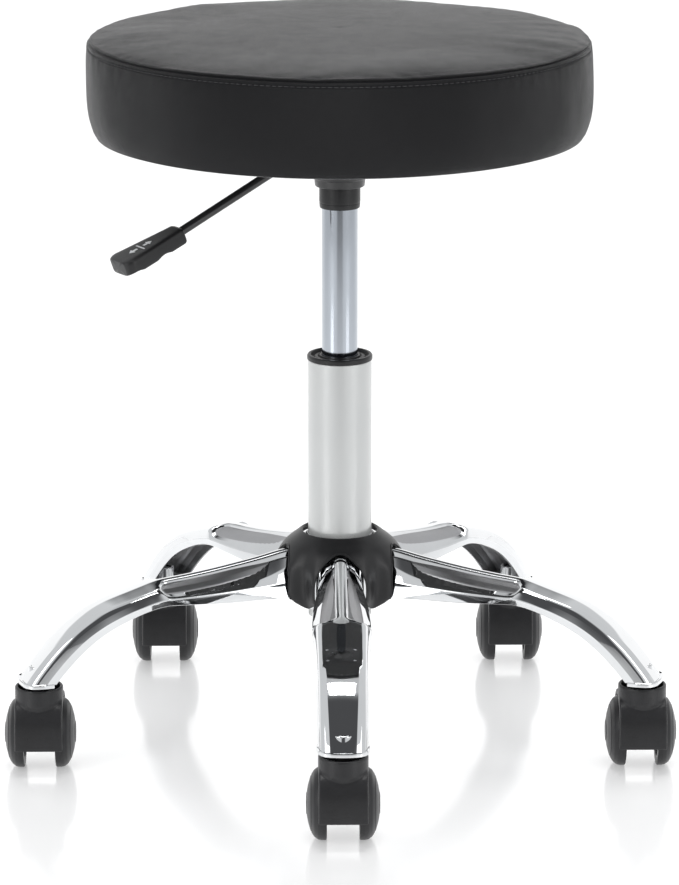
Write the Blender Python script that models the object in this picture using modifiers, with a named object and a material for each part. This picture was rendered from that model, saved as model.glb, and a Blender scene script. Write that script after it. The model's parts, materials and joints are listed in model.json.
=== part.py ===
"""Pedicure stool: padded round seat on a gas lift, five chromed arms and five twin-wheel casters.

Metres, +Z up, floor at z = 0. The origin is on the floor at the centre of the stool's footprint.
One arm points to -Y (the front). Every moving piece hangs from an empty on its joint's axis.
"""
import math

import bmesh
import bpy
from mathutils import Matrix, Vector

# ---- driving dimensions -------------------------------------------------------------------------
GAP = 0.0003                 # clearance between pieces that touch

SEAT_RADIUS = 0.195          # at the fullest part of the side
SEAT_BOTTOM = 0.4895
SEAT_TOP = 0.571
SEAT_SEAM_Z = 0.5635         # where the top panel is sewn to the side band
SEAT_STEPS = 32
VINYL = 0.0012               # thickness of the cover
BOARD_RADIUS = 0.183
BOARD_THICKNESS = 0.012
CLOTH_RADIUS = 0.178         # dust cloth under the board
PLATE_SIDE = 0.140           # square steel plate under the seat
PLATE_THICKNESS = 0.0025

ARM_COUNT = 5
ARM_WALL = 0.002
FRONT_ARM_ANGLE = -90.0      # degrees, seen from above, anticlockwise from +X
ARM_PITCH = 360.0 / ARM_COUNT

PINTLE_RADIUS = 0.247        # column axis to caster swivel axis
ARM_TIP_Z = 0.071
STEM_RADIUS = 0.0055
WHEEL_RADIUS = 0.0275
WHEEL_STEPS = 16
WHEEL_INNER_X = 0.01225      # inner face of each wheel, from the caster's middle
WHEEL_OUTER_X = 0.0277
AXLE_RADIUS = 0.003
AXLE_OFFSET = 0.010          # trail of the axle behind the pintle, towards +Y at rest
HOOD_REACH = 0.033           # hood's front face, from the axle
HOOD_WIDTH = 0.037
CUP_RADIUS = 0.01875
CUP_TOP = 0.069
CUP_FLOOR = 0.0605           # bottom of the hollow in the cup
CUP_WALL = 0.0028
SOCKET_TOP = 0.085           # top of the boss that holds the stem inside the arm tip
STEM_TOP = 0.081
STEM_BOTTOM = 0.046

TUBE_RADIUS = 0.025          # outer tube of the gas lift
TUBE_TOP = 0.3112
TUBE_BOTTOM = 0.104
CYLINDER_RADIUS = 0.014      # inner cylinder of the gas lift
CYLINDER_TOP = 0.466
CYLINDER_BOTTOM = 0.245
ROD_RADIUS = 0.005
SLEEVE_RADIUS = 0.016        # black sleeve round the top of the cylinder
SLEEVE_BOTTOM = 0.432
BELL_THROAT_Z = 0.449
HUB_RADIUS = 0.0284          # steel sleeve that the arms are welded to
HUB_BOTTOM = 0.112
HUB_TOP = 0.1715

LEVER_ANGLE = 212.0          # degrees, seen from above
LEVER_ROD_RADIUS = 0.0035
LEVER_PIVOT_R = 0.024
LEVER_PIVOT_Z = 0.475
LEVER_BEND = 0.017           # level stretch of the rod outside the pivot
PADDLE_OUT = 0.119           # where the rod enters the paddle: outwards from the pivot, and below it
PADDLE_DROP = 0.0465
PADDLE_SLOPE = math.radians(20.5)
PADDLE_LENGTH = 0.0575

# The footprint reaches from the front caster's hood to the rear casters' wheels, and the origin
# is midway between them, so the column stands a little behind it.
FRONT_REACH = PINTLE_RADIUS - AXLE_OFFSET + HOOD_REACH
REAR_REACH = (PINTLE_RADIUS * math.sin(math.radians(FRONT_ARM_ANGLE + 2 * ARM_PITCH))
              + AXLE_OFFSET + WHEEL_RADIUS / math.cos(math.pi / WHEEL_STEPS))
AXIS_Y = (FRONT_REACH - REAR_REACH) / 2


# ---- scene, materials and small helpers -----------------------------------------------------------
def clear_scene():
    for item in list(bpy.data.objects):
        bpy.data.objects.remove(item, do_unlink=True)


def new_collection(name):
    group = bpy.data.collections.new(name)
    bpy.context.scene.collection.children.link(group)
    return group


clear_scene()
PARTS = new_collection("pedicure_stool")
CUTTERS = new_collection("cutters")


def finish(name, colour, roughness, metallic=0.0):
    material = bpy.data.materials.new(name)
    material.use_nodes = True
    shader = material.node_tree.nodes["Principled BSDF"]
    shader.inputs["Base Color"].default_value = (*colour, 1.0)
    shader.inputs["Roughness"].default_value = roughness
    shader.inputs["Metallic"].default_value = metallic
    return material


VINYL_BLACK = finish("black_vinyl", (0.016, 0.016, 0.018), 0.42)
DUST_CLOTH = finish("dust_cloth", (0.02, 0.02, 0.021), 0.95)
FOAM = finish("foam", (0.75, 0.68, 0.45), 0.9)
PLYWOOD = finish("plywood", (0.55, 0.38, 0.22), 0.7)
CHROME = finish("chrome", (0.86, 0.87, 0.88), 0.06, 1.0)
STEEL = finish("plain_steel", (0.5, 0.5, 0.52), 0.35, 1.0)
SILVER = finish("silver_lacquer", (0.72, 0.73, 0.73), 0.32, 0.6)
BLACK_PLASTIC = finish("black_plastic", (0.024, 0.024, 0.026), 0.5)
WHITE_PLASTIC = finish("acetal", (0.8, 0.8, 0.78), 0.4)
BLACK_PAINT = finish("black_paint", (0.02, 0.02, 0.02), 0.35, 0.3)
RUBBER = finish("rubber", (0.03, 0.03, 0.03), 0.8)


def shade_round(mesh, angle=35.0):
    mesh.shade_smooth()
    mesh.set_sharp_from_angle(angle=math.radians(angle))


def place(name, mesh, parent, material=None, collection=PARTS):
    item = bpy.data.objects.new(name, mesh)
    collection.objects.link(item)
    item.parent = parent
    if material is not None and not mesh.materials:
        mesh.materials.append(material)
    return item


def empty(name, location, parent=None, turn=(0.0, 0.0, 0.0)):
    frame = bpy.data.objects.new(name, None)
    frame.empty_display_size = 0.02
    frame.location = location
    frame.rotation_euler = turn
    frame.parent = parent
    PARTS.objects.link(frame)
    return frame


def cutter(name, mesh, parent=None):
    tool = place(name, mesh, parent, collection=CUTTERS)
    tool.hide_render = True
    tool.display_type = "WIRE"
    return tool


def combine(item, tool, operation):
    step = item.modifiers.new(tool.name, "BOOLEAN")
    step.object = tool
    step.operation = operation
    step.solver = "EXACT"


def baked(item, tools=()):
    """The item's evaluated mesh; the item and its tools are removed."""
    bpy.context.view_layer.update()
    shape = item.evaluated_get(bpy.context.evaluated_depsgraph_get())
    mesh = bpy.data.meshes.new_from_object(shape)
    for used in (item, *tools):
        bpy.data.objects.remove(used, do_unlink=True)
    return mesh


# ---- shape makers -----------------------------------------------------------------------------------
def profile_mesh(name, points, closed):
    mesh = bpy.data.meshes.new(name)
    edges = [(i, i + 1) for i in range(len(points) - 1)]
    if closed:
        edges.append((len(points) - 1, 0))
    mesh.from_pydata([(r, 0.0, z) for r, z in points], edges, [])
    return mesh


def turned(name, points, closed=True, steps=24):
    """A turned mesh about Z, from a profile that runs down its outer side."""
    item = place(name, profile_mesh(name, points, closed), None)
    screw = item.modifiers.new("turn", "SCREW")
    screw.steps = steps
    screw.render_steps = steps
    screw.use_merge_vertices = True
    screw.merge_threshold = 0.00001
    mesh = baked(item)
    shade_round(mesh)
    return mesh


def ring(name, inner, outer, bottom, top, steps=24):
    return turned(name, [(outer, top), (outer, bottom), (inner, bottom), (inner, top)], True, steps)


def bar(name, radius, length, centre, axis="Z", steps=16):
    """A round bar of the given length, centred on a point and lying along X, Y or Z."""
    turn = {"X": Matrix.Rotation(math.pi / 2, 4, "Y"),
            "Y": Matrix.Rotation(math.pi / 2, 4, "X"),
            "Z": Matrix.Identity(4)}[axis]
    work = bmesh.new()
    bmesh.ops.create_cone(work, cap_ends=True, segments=steps, radius1=radius, radius2=radius,
                          depth=length, matrix=Matrix.Translation(centre) @ turn)
    mesh = bpy.data.meshes.new(name)
    work.to_mesh(mesh)
    work.free()
    shade_round(mesh)
    return mesh


def box(name, size, centre):
    work = bmesh.new()
    bmesh.ops.create_cube(work, size=1.0, matrix=Matrix.Translation(centre) @ Matrix.Diagonal((*size, 1.0)))
    mesh = bpy.data.meshes.new(name)
    work.to_mesh(mesh)
    work.free()
    return mesh


def plate(name, outline, thickness):
    """A flat outline in the XY plane, thickened evenly either side of it."""
    curve = bpy.data.curves.new(name, "CURVE")
    curve.dimensions = "2D"
    curve.fill_mode = "BOTH"
    curve.extrude = thickness / 2
    spline = curve.splines.new("POLY")
    spline.points.add(len(outline) - 1)
    for point, (x, y) in zip(spline.points, outline):
        point.co = (x, y, 0.0, 1.0)
    spline.use_cyclic_u = True
    item = bpy.data.objects.new(name, curve)
    PARTS.objects.link(item)
    mesh = baked(item)
    welded(mesh)
    return mesh


def welded(mesh):
    work = bmesh.new()
    work.from_mesh(mesh)
    bmesh.ops.remove_doubles(work, verts=work.verts, dist=0.00001)
    work.to_mesh(mesh)
    work.free()


def joined(name, meshes):
    """Several separate bodies in one mesh, for use as a cutter."""
    work = bmesh.new()
    for mesh in meshes:
        work.from_mesh(mesh)
    result = bpy.data.meshes.new(name)
    work.to_mesh(result)
    work.free()
    return result


def cut(name, body, additions=(), cuts=()):
    """The body mesh with some meshes joined to it and others cut away."""
    item = place(name, body, None)
    tools = []
    for operation, meshes in (("UNION", additions), ("DIFFERENCE", cuts)):
        for index, mesh in enumerate(meshes):
            tool = cutter(f"{name}_{operation}_{index}", mesh)
            combine(item, tool, operation)
            tools.append(tool)
    mesh = baked(item, tools)
    shade_round(mesh)
    return mesh


def arc(centre, radius, start, stop, steps):
    """Points along an arc, angles in degrees."""
    angles = [math.radians(start + (stop - start) * i / steps) for i in range(steps + 1)]
    return [(centre[0] + radius * math.cos(a), centre[1] + radius * math.sin(a)) for a in angles]


def inset(points, distance):
    """An open turned profile that runs down its outer side, moved inwards square to itself."""
    moved = []
    for i, (r, z) in enumerate(points):
        before = Vector(points[max(i - 1, 0)])
        after = Vector(points[min(i + 1, len(points) - 1)])
        along = (after - before).normalized()
        moved.append((r + along.y * distance if r else 0.0, z - along.x * distance))
    return moved


def skin(points):
    """An outer profile and its inner side, with the edge at the seam cut level."""
    inner = inset(points, VINYL)
    level = [(r, outer[1] if abs(outer[1] - SEAT_SEAM_Z) < 2 * GAP else z)
             for (r, z), outer in zip(inner, points)]
    return points + level[::-1]


# ---- seat -------------------------------------------------------------------------------------------
SEAT_SIDE = [(0.1922, SEAT_SEAM_Z - GAP / 2), (SEAT_RADIUS, 0.550), (SEAT_RADIUS, 0.521),
             (0.1927, 0.502), (0.1880, SEAT_BOTTOM)]
SEAT_CROWN = [(0.0, SEAT_TOP), (0.110, SEAT_TOP), (0.150, 0.5701), (0.175, 0.5684),
              (0.187, 0.5664), (0.1922, SEAT_SEAM_Z + GAP / 2)]
SCREW_REACH = 0.055          # plate screws stand on a square of twice this side


def screw_places():
    return [(x * SCREW_REACH, y * SCREW_REACH) for x in (-1, 1) for y in (-1, 1)]


def screw_holes(bottom, top):
    middle = (bottom + top) / 2
    return joined("screw_holes", [bar("hole", 0.0029, top - bottom, (x, y, middle), steps=10)
                                  for x, y in screw_places()])


def seat_cushion(parent):
    board_bottom = SEAT_BOTTOM + 0.0011
    board_top = board_bottom + BOARD_THICKNESS
    foam_bottom = board_top + GAP
    depth = VINYL + GAP
    foam_side = [point for point in inset(SEAT_SIDE, depth) if point[1] > foam_bottom + 0.01]
    foam = inset(SEAT_CROWN, depth)[:-1] + foam_side + [(0.190, foam_bottom), (0.0, foam_bottom)]
    place("foam_pad", turned("foam_pad", foam, False, SEAT_STEPS), parent, FOAM)
    place("cover_top", turned("cover_top", skin(SEAT_CROWN), False, SEAT_STEPS), parent, VINYL_BLACK)
    place("cover_band", turned("cover_band", skin(SEAT_SIDE), True, SEAT_STEPS), parent, VINYL_BLACK)
    board = turned("seat_board", [(0.0, board_top), (BOARD_RADIUS, board_top),
                                  (BOARD_RADIUS, board_bottom), (0.0, board_bottom)], False, SEAT_STEPS)
    board = cut("seat_board", board, cuts=[screw_holes(board_bottom - 0.002, board_top + 0.002)])
    place("seat_board", board, parent, PLYWOOD)
    cloth_top = board_bottom - GAP
    cloth = turned("dust_cover", [(0.0, cloth_top), (CLOTH_RADIUS, cloth_top),
                                  (CLOTH_RADIUS, SEAT_BOTTOM), (0.0, SEAT_BOTTOM)], False, SEAT_STEPS)
    cloth = cut("dust_cover", cloth, cuts=[screw_holes(SEAT_BOTTOM - 0.002, cloth_top + 0.0012)])
    place("dust_cover", cloth, parent, DUST_CLOTH)


def seat_mount(parent):
    """The pressed plate under the seat, its screws, and the bell that grips the gas lift."""
    plate_top = SEAT_BOTTOM - GAP
    plate_bottom = plate_top - PLATE_THICKNESS
    sheet = box("seat_plate", (PLATE_SIDE, PLATE_SIDE, PLATE_THICKNESS),
                (0, 0, (plate_top + plate_bottom) / 2))
    sheet = cut("seat_plate", sheet, cuts=[screw_holes(plate_bottom - 0.002, plate_top + 0.002)])
    place("seat_plate", sheet, parent, BLACK_PAINT)
    head_top = plate_bottom - GAP
    screw = turned("plate_screw", [(0.0, SEAT_BOTTOM + 0.011), (0.0025, SEAT_BOTTOM + 0.009),
                                   (0.0025, head_top), (0.0055, head_top),
                                   (0.0045, head_top - 0.0025), (0.0, head_top - 0.0025)], False, 10)
    for index, (x, y) in enumerate(screw_places()):
        item = place(f"plate_screw_{index + 1}", screw, parent, STEEL)
        item.location = (x, y, 0.0)
    bell_top = plate_bottom - GAP
    throat = CYLINDER_RADIUS + GAP
    bell = turned("socket_bell", [(0.050, bell_top), (0.050, bell_top - 0.0025), (0.040, 0.4765),
                                  (0.030, 0.4665), (0.0222, 0.4570), (0.0192, BELL_THROAT_Z),
                                  (throat, BELL_THROAT_Z), (throat, 0.4575), (0.0185, 0.4605),
                                  (0.0272, 0.469), (0.0375, 0.4795), (0.0465, bell_top)], True, 20)
    turn = Matrix.Rotation(math.radians(LEVER_ANGLE), 4, "Z")
    slot = box("slot", (0.040, 0.0125, 0.0245), (0.042, 0, 0.4725))
    holes = bar("pin_holes", 0.0023, 0.080, (LEVER_PIVOT_R, 0, LEVER_PIVOT_Z), "Y", 12)
    slot.transform(turn)
    holes.transform(turn)
    place("socket_bell", cut("socket_bell", bell, cuts=[slot, holes]), parent, BLACK_PAINT)
    sleeve_top = BELL_THROAT_Z - GAP
    sleeve = turned("cylinder_sleeve", [(SLEEVE_RADIUS, sleeve_top), (SLEEVE_RADIUS, SLEEVE_BOTTOM + 0.001),
                                        (SLEEVE_RADIUS - 0.001, SLEEVE_BOTTOM),
                                        (throat, SLEEVE_BOTTOM), (throat, sleeve_top)])
    place("cylinder_sleeve", sleeve, parent, BLACK_PLASTIC)
    pin = bar("lever_pivot_pin", 0.002, 0.062, (LEVER_PIVOT_R, 0, LEVER_PIVOT_Z), "Y", 12)
    pin.transform(turn)
    place("lever_pivot_pin", pin, parent, STEEL)


# ---- gas lift ---------------------------------------------------------------------------------------
GUIDE_BORE = CYLINDER_RADIUS + GAP
TUBE_BORE = TUBE_RADIUS - 0.0018
CAP_SKIRT = 0.015            # of the cap, down inside the tube
BUSH_LENGTH = 0.080


def outer_tube(parent):
    floor = TUBE_BOTTOM + 0.003
    hole = ROD_RADIUS + 2 * GAP
    tube = turned("outer_column", [(TUBE_RADIUS, TUBE_TOP), (TUBE_RADIUS, TUBE_BOTTOM), (hole, TUBE_BOTTOM),
                                   (hole, floor), (TUBE_BORE, floor), (TUBE_BORE, TUBE_TOP)], steps=28)
    place("outer_column", tube, parent, SILVER)
    plug = TUBE_BORE - GAP
    rim = TUBE_TOP + GAP
    skirt = rim - CAP_SKIRT
    cap = turned("column_cap", [(0.0248, rim + 0.004), (0.0256, rim + 0.0032), (0.0256, rim), (plug, rim),
                                (plug, skirt), (GUIDE_BORE, skirt), (GUIDE_BORE, rim + 0.0015),
                                (0.0224, rim + 0.0015), (0.0226, rim + 0.004)], steps=28)
    place("column_cap", cap, parent, BLACK_PLASTIC)
    bush_top = skirt - GAP
    bush = ring("guide_bush", GUIDE_BORE, plug, bush_top - BUSH_LENGTH, bush_top, 28)
    place("guide_bush", bush, parent, WHITE_PLASTIC)
    bearing = ring("thrust_bearing", 0.009, 0.020, floor + GAP, floor + 0.008, 20)
    place("thrust_bearing", bearing, parent, STEEL)


def piston_stack(parent):
    """What turns with the seat but doesn't rise: the piston rod and what sits on it."""
    rod_bottom = 0.098
    rod_top = 0.278
    rod = turned("piston_rod", [(0.0, rod_top), (ROD_RADIUS - 0.0008, rod_top), (ROD_RADIUS, rod_top - 0.001),
                                (ROD_RADIUS, rod_bottom + 0.001), (ROD_RADIUS - 0.001, rod_bottom),
                                (0.0, rod_bottom)], False, 16)
    place("piston_rod", rod, parent, STEEL)
    around = ROD_RADIUS + GAP
    head = ring("piston_head", around, 0.0117, 0.262, 0.274, 20)
    place("piston_head", head, parent, WHITE_PLASTIC)
    washer_bottom = TUBE_BOTTOM + 0.011 + GAP
    washer = ring("bearing_washer", around, 0.019, washer_bottom, washer_bottom + 0.002, 20)
    place("bearing_washer", washer, parent, STEEL)
    stop_bottom = washer_bottom + 0.002 + GAP
    stop = ring("bump_stop", around, 0.016, stop_bottom, stop_bottom + 0.012, 20)
    place("bump_stop", stop, parent, RUBBER)
    clip_top = TUBE_BOTTOM - GAP
    clip = ring("retaining_clip", around, 0.011, clip_top - 0.002, clip_top, 16)
    place("retaining_clip", clip, parent, STEEL)


def cylinder(parent):
    """What rises with the seat: the pressure cylinder, its gland and the release pin's guide."""
    bore = 0.0028
    inside = CYLINDER_RADIUS - 0.002
    plug_bottom = CYLINDER_TOP - 0.016
    tube = turned("inner_cylinder", [(CYLINDER_RADIUS - 0.001, CYLINDER_TOP),
                                     (CYLINDER_RADIUS, CYLINDER_TOP - 0.001),
                                     (CYLINDER_RADIUS, CYLINDER_BOTTOM + 0.001),
                                     (CYLINDER_RADIUS - 0.001, CYLINDER_BOTTOM),
                                     (inside, CYLINDER_BOTTOM), (inside, plug_bottom),
                                     (bore, plug_bottom), (bore, CYLINDER_TOP)], steps=24)
    place("inner_cylinder", tube, parent, CHROME)
    gland = ring("rod_gland", ROD_RADIUS + GAP, inside - GAP, CYLINDER_BOTTOM + 0.001,
                 CYLINDER_BOTTOM + 0.013, 20)
    place("rod_gland", gland, parent, BLACK_PLASTIC)


def release_pin(parent):
    """Origin on the pin's own axis, at the top of the cylinder."""
    reach = LEVER_PIVOT_Z - LEVER_ROD_RADIUS - 0.0005 - CYLINDER_TOP
    pin = turned("release_pin", [(0.0, reach), (0.0018, reach), (0.0025, reach - 0.0007), (0.0025, -0.014),
                                 (0.0, -0.014)], False, 12)
    place("release_pin", pin, parent, STEEL)


# ---- height lever -------------------------------------------------------------------------------------
def lever(parent):
    """Local frame: origin on the pivot, +X outwards along the lever's heading, +Z up."""
    entry = Vector((PADDLE_OUT, 0.0, -PADDLE_DROP))
    slope = Vector((math.cos(PADDLE_SLOPE), 0.0, -math.sin(PADDLE_SLOPE)))
    curve = bpy.data.curves.new("lever_rod", "CURVE")
    curve.dimensions = "3D"
    curve.bevel_depth = LEVER_ROD_RADIUS
    curve.bevel_resolution = 2
    curve.use_fill_caps = True
    route = [Vector((-LEVER_PIVOT_R - 0.005, 0, 0)), Vector((LEVER_BEND - 0.004, 0, 0)),
             Vector((LEVER_BEND + 0.004, 0, -0.0018)), entry, entry + slope * 0.038]
    spline = curve.splines.new("POLY")
    spline.points.add(len(route) - 1)
    for point, co in zip(spline.points, route):
        point.co = (*co, 1.0)
    item = bpy.data.objects.new("lever_rod", curve)
    PARTS.objects.link(item)
    rod = baked(item)
    welded(rod)
    eye = bar("eye", 0.0053, 0.009, (0, 0, 0), "Y", 16)
    bore = bar("bore", 0.0023, 0.020, (0, 0, 0), "Y", 12)
    place("lever_rod", cut("lever_rod", rod, [eye], [bore]), parent, BLACK_PAINT)
    place("lever_paddle", paddle_mesh(entry + slope * 0.001), parent, BLACK_PLASTIC)


def paddle_mesh(start):
    """A flat grip that widens outwards, with shallow finger scallops along its underside."""
    length, narrow, wide, thick = PADDLE_LENGTH, 0.0085, 0.0155, 0.0130
    droop = 0.0012               # of the grip below the rod that it is pushed onto
    corner = 0.006
    outline = [(0.0, -narrow)]
    outline += arc((length - corner, -wide + corner), corner, -80, 0, 3)
    outline += arc((length - corner, wide - corner), corner, 0, 80, 3)
    outline += [(0.0, narrow)]
    body = plate("lever_paddle", outline, thick)
    body.transform(Matrix.Translation((0, 0, -droop)))
    scallops = [bar("scallop", 0.008, 0.050, (length * share, 0, -droop - thick / 2 - 0.0062), "Y", 12)
                for share in (0.45, 0.68, 0.91)]
    bore = bar("bore", LEVER_ROD_RADIUS + GAP, 0.084, (0, 0, 0), "X", 10)
    body = cut("lever_paddle", body, cuts=[*scallops, bore])
    body.transform(Matrix.Translation(start) @ Matrix.Rotation(PADDLE_SLOPE, 4, "Y"))
    return body


# ---- base: hub, cover and arms ------------------------------------------------------------------------
# Each station of an arm is a section between a point on its ridge and one on its open lower edge,
# both as (distance from the column, height). The four half-widths are those of the ridge,
# the upper wall, the crease and the lower edge.
ARM_STATIONS = [
    ((0.0292, 0.1618), (0.0292, 0.1265), (0.0050, 0.0112, 0.0160, 0.0182)),
    ((0.0470, 0.1608), (0.0470, 0.1266), (0.0050, 0.0120, 0.0172, 0.0194)),
    ((0.0700, 0.1562), (0.0700, 0.1273), (0.0060, 0.0146, 0.0194, 0.0206)),
    ((0.1000, 0.1512), (0.1000, 0.1280), (0.0080, 0.0184, 0.0217, 0.0224)),
    ((0.1250, 0.1478), (0.1240, 0.1292), (0.0105, 0.0196, 0.0226, 0.0228)),
    ((0.1500, 0.1447), (0.1450, 0.1299), (0.0125, 0.0198, 0.0227, 0.0225)),
    ((0.1730, 0.1379), (0.1630, 0.1268), (0.0130, 0.0196, 0.0221, 0.0218)),
    ((0.1940, 0.1310), (0.1800, 0.1203), (0.0130, 0.0192, 0.0210, 0.0210)),
    ((0.2150, 0.1201), (0.1970, 0.1118), (0.0125, 0.0187, 0.0203, 0.0203)),
    ((0.2330, 0.1061), (0.2120, 0.1012), (0.0120, 0.0184, 0.0198, 0.0198)),
    ((0.2480, 0.0902), (0.2255, 0.0885), (0.0110, 0.0180, 0.0194, 0.0194)),
    ((0.2570, 0.0788), (0.2345, 0.0785), (0.0105, 0.0176, 0.0191, 0.0191)),
    ((0.2620, ARM_TIP_Z), (0.2400, ARM_TIP_Z), (0.0100, 0.0175, 0.0190, 0.0190)),
]
ARM_DEPTHS = (0.0, 0.30, 0.66, 1.0)   # of the four half-widths, from the ridge to the lower edge


def arm_section(ridge, edge, widths):
    rows = []
    for depth, width in zip(ARM_DEPTHS, widths):
        reach = ridge[0] + (edge[0] - ridge[0]) * depth
        height = ridge[1] + (edge[1] - ridge[1]) * depth
        rows.append((reach, width, height))
    left = [(reach, width, height) for reach, width, height in reversed(rows)]
    right = [(reach, -width, height) for reach, width, height in rows]
    return left + right


def arm_mesh():
    """A stamped arm along +X, open underneath, with the caster's socket welded into its tip."""
    work = bmesh.new()
    sections = [[work.verts.new(co) for co in arm_section(*station)] for station in ARM_STATIONS]
    for inner, outer in zip(sections, sections[1:]):
        for i in range(len(inner) - 1):
            work.faces.new((inner[i], inner[i + 1], outer[i + 1], outer[i]))
    bmesh.ops.recalc_face_normals(work, faces=work.faces)
    if max(work.faces, key=lambda face: face.calc_center_median().z).normal.z < 0:
        bmesh.ops.reverse_faces(work, faces=work.faces)
    mesh = bpy.data.meshes.new("arm")
    work.to_mesh(mesh)
    work.free()
    item = place("arm", mesh, None)
    shell = item.modifiers.new("wall", "SOLIDIFY")
    shell.thickness = ARM_WALL
    shell.offset = -1.0
    shell.use_even_offset = True
    shell_mesh = baked(item)
    plate_z = ARM_TIP_Z + 0.0003
    socket = turned("socket", [(0.0, SOCKET_TOP), (0.008, SOCKET_TOP), (0.008, plate_z + 0.003),
                               (0.014, plate_z + 0.003), (0.014, plate_z), (0.0, plate_z)], False, 12)
    bore_top = STEM_TOP + 0.0008
    bore = bar("stem_bore", STEM_RADIUS + GAP, 0.024, (0, 0, bore_top - 0.012), steps=12)
    for tool in (socket, bore):
        tool.transform(Matrix.Translation((PINTLE_RADIUS, 0, 0)))
    return cut("arm", shell_mesh, [socket], [bore])


# Levels of the hub cover: height, radius midway between two arms, and radius beside an arm,
# where the cover swells to frame the opening.
COVER_LEVELS = [
    (0.1735, 0.0303, 0.0303), (0.1695, 0.0362, 0.0362), (0.1640, 0.0425, 0.0435),
    (0.1565, 0.0465, 0.0485), (0.1490, 0.0478, 0.0520), (0.1370, 0.0480, 0.0540),
    (0.1270, 0.0468, 0.0532), (0.1180, 0.0440, 0.0495),
]
COVER_RIM_RISE = 0.005       # of the lower rim, beside an arm
COVER_STEPS = 45
COVER_WALL = 0.0022
SWELL_SPAN = 15.0            # degrees over which the cover swells towards an arm
ARCH_R = 0.053               # middle of each opening's cutter, from the column
ARCH_DEPTH = 0.040
ARCH_HALF = [(0.0205, 0.108), (0.0205, 0.140), (0.0185, 0.148), (0.0145, 0.155), (0.0090, 0.1605),
             (0.0040, 0.1635)]


def cover_swell(angle):
    """1 beside an arm and 0 midway between two, for an angle in degrees."""
    off = abs((angle - FRONT_ARM_ANGLE + ARM_PITCH / 2) % ARM_PITCH - ARM_PITCH / 2)
    share = min(max((ARM_PITCH / 2 - off) / SWELL_SPAN, 0.0), 1.0)
    return share * share * (3 - 2 * share)


def hub_cover_mesh():
    work = bmesh.new()
    rings = []
    for height, between, beside in COVER_LEVELS:
        row = []
        for i in range(COVER_STEPS):
            angle = 360.0 * i / COVER_STEPS
            swell = cover_swell(angle)
            radius = between + (beside - between) * swell
            level = height + (COVER_RIM_RISE * swell if height == COVER_LEVELS[-1][0] else 0.0)
            turn = math.radians(angle)
            row.append(work.verts.new((radius * math.cos(turn), radius * math.sin(turn), level)))
        rings.append(row)
    for upper, lower in zip(rings, rings[1:]):
        for i in range(COVER_STEPS):
            j = (i + 1) % COVER_STEPS
            work.faces.new((upper[i], lower[i], lower[j], upper[j]))
    mesh = bpy.data.meshes.new("hub_cover")
    work.to_mesh(mesh)
    work.free()
    item = place("hub_cover", mesh, None)
    shell = item.modifiers.new("wall", "SOLIDIFY")
    shell.thickness = COVER_WALL
    shell.offset = -1.0
    shell.use_even_offset = True
    shell_mesh = baked(item)
    outline = [(-y, z) for y, z in ARCH_HALF] + [(y, z) for y, z in reversed(ARCH_HALF)]
    arch = plate("arch", outline, ARCH_DEPTH)
    arch.transform(Matrix(((0, 0, 1, ARCH_R), (1, 0, 0, 0), (0, 1, 0, 0), (0, 0, 0, 1))))
    arches = []
    for k in range(ARM_COUNT):
        opening = arch.copy()
        opening.transform(Matrix.Rotation(math.radians(FRONT_ARM_ANGLE + k * ARM_PITCH), 4, "Z"))
        arches.append(opening)
    return cut("hub_cover", shell_mesh, cuts=[joined("arches", arches)])


def base(parent):
    sleeve = ring("hub_sleeve", TUBE_RADIUS + GAP, HUB_RADIUS, HUB_BOTTOM, HUB_TOP, 28)
    place("hub_sleeve", sleeve, parent, CHROME)
    arm = arm_mesh()
    for k in range(ARM_COUNT):
        item = place(f"arm_{k + 1}", arm, parent, CHROME)
        item.rotation_euler.z = math.radians(FRONT_ARM_ANGLE + k * ARM_PITCH)
    place("hub_cover", hub_cover_mesh(), parent, BLACK_PLASTIC)


# ---- casters --------------------------------------------------------------------------------------------
def hood_outline():
    """Side view of the hood, as (distance behind the axle, height above the axle)."""
    front = [(-HOOD_REACH, -0.006), (-HOOD_REACH, 0.006), (-0.0318, 0.015), (-0.0286, 0.0225),
             (-0.0240, 0.0285), (-0.0180, 0.0310)]
    rear = [(0.0, 0.0320)] + arc((0.0, 0.0), 0.0325, 70, 32, 3)
    under = [(0.0245, 0.0155), (0.0120, -0.004), (0.0050, -0.0105), (-0.0060, -0.0105),
             (-0.0150, -0.006)]
    return front + rear + under


def hood_mesh():
    """Caster frame: origin on the floor under the pintle, axle along X and AXLE_OFFSET behind."""
    body = plate("caster_hood", hood_outline(), HOOD_WIDTH)
    body.transform(Matrix(((0, 0, 1, 0), (1, 0, 0, AXLE_OFFSET), (0, 1, 0, WHEEL_RADIUS), (0, 0, 0, 1))))
    cup = bar("cup", CUP_RADIUS, 0.016, (0, 0, CUP_TOP - 0.008), steps=20)
    recess = bar("recess", CUP_RADIUS - CUP_WALL, 0.012, (0, 0, CUP_FLOOR + 0.006), steps=16)
    stem_bore = bar("stem_bore", STEM_RADIUS + GAP, 0.020, (0, 0, STEM_BOTTOM - GAP + 0.010), steps=12)
    axle_bore = bar("axle_bore", AXLE_RADIUS + GAP, 0.050, (0, AXLE_OFFSET, WHEEL_RADIUS), "X", 10)
    well_depth = 0.010
    well_x = WHEEL_INNER_X - GAP + well_depth / 2
    wells = joined("wells", [bar("well", WHEEL_RADIUS + 0.0011, well_depth,
                                 (side * well_x, AXLE_OFFSET, WHEEL_RADIUS), "X", 24) for side in (-1, 1)])
    return cut("caster_hood", body, [cup], [recess, stem_bore, axle_bore, wells])


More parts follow.
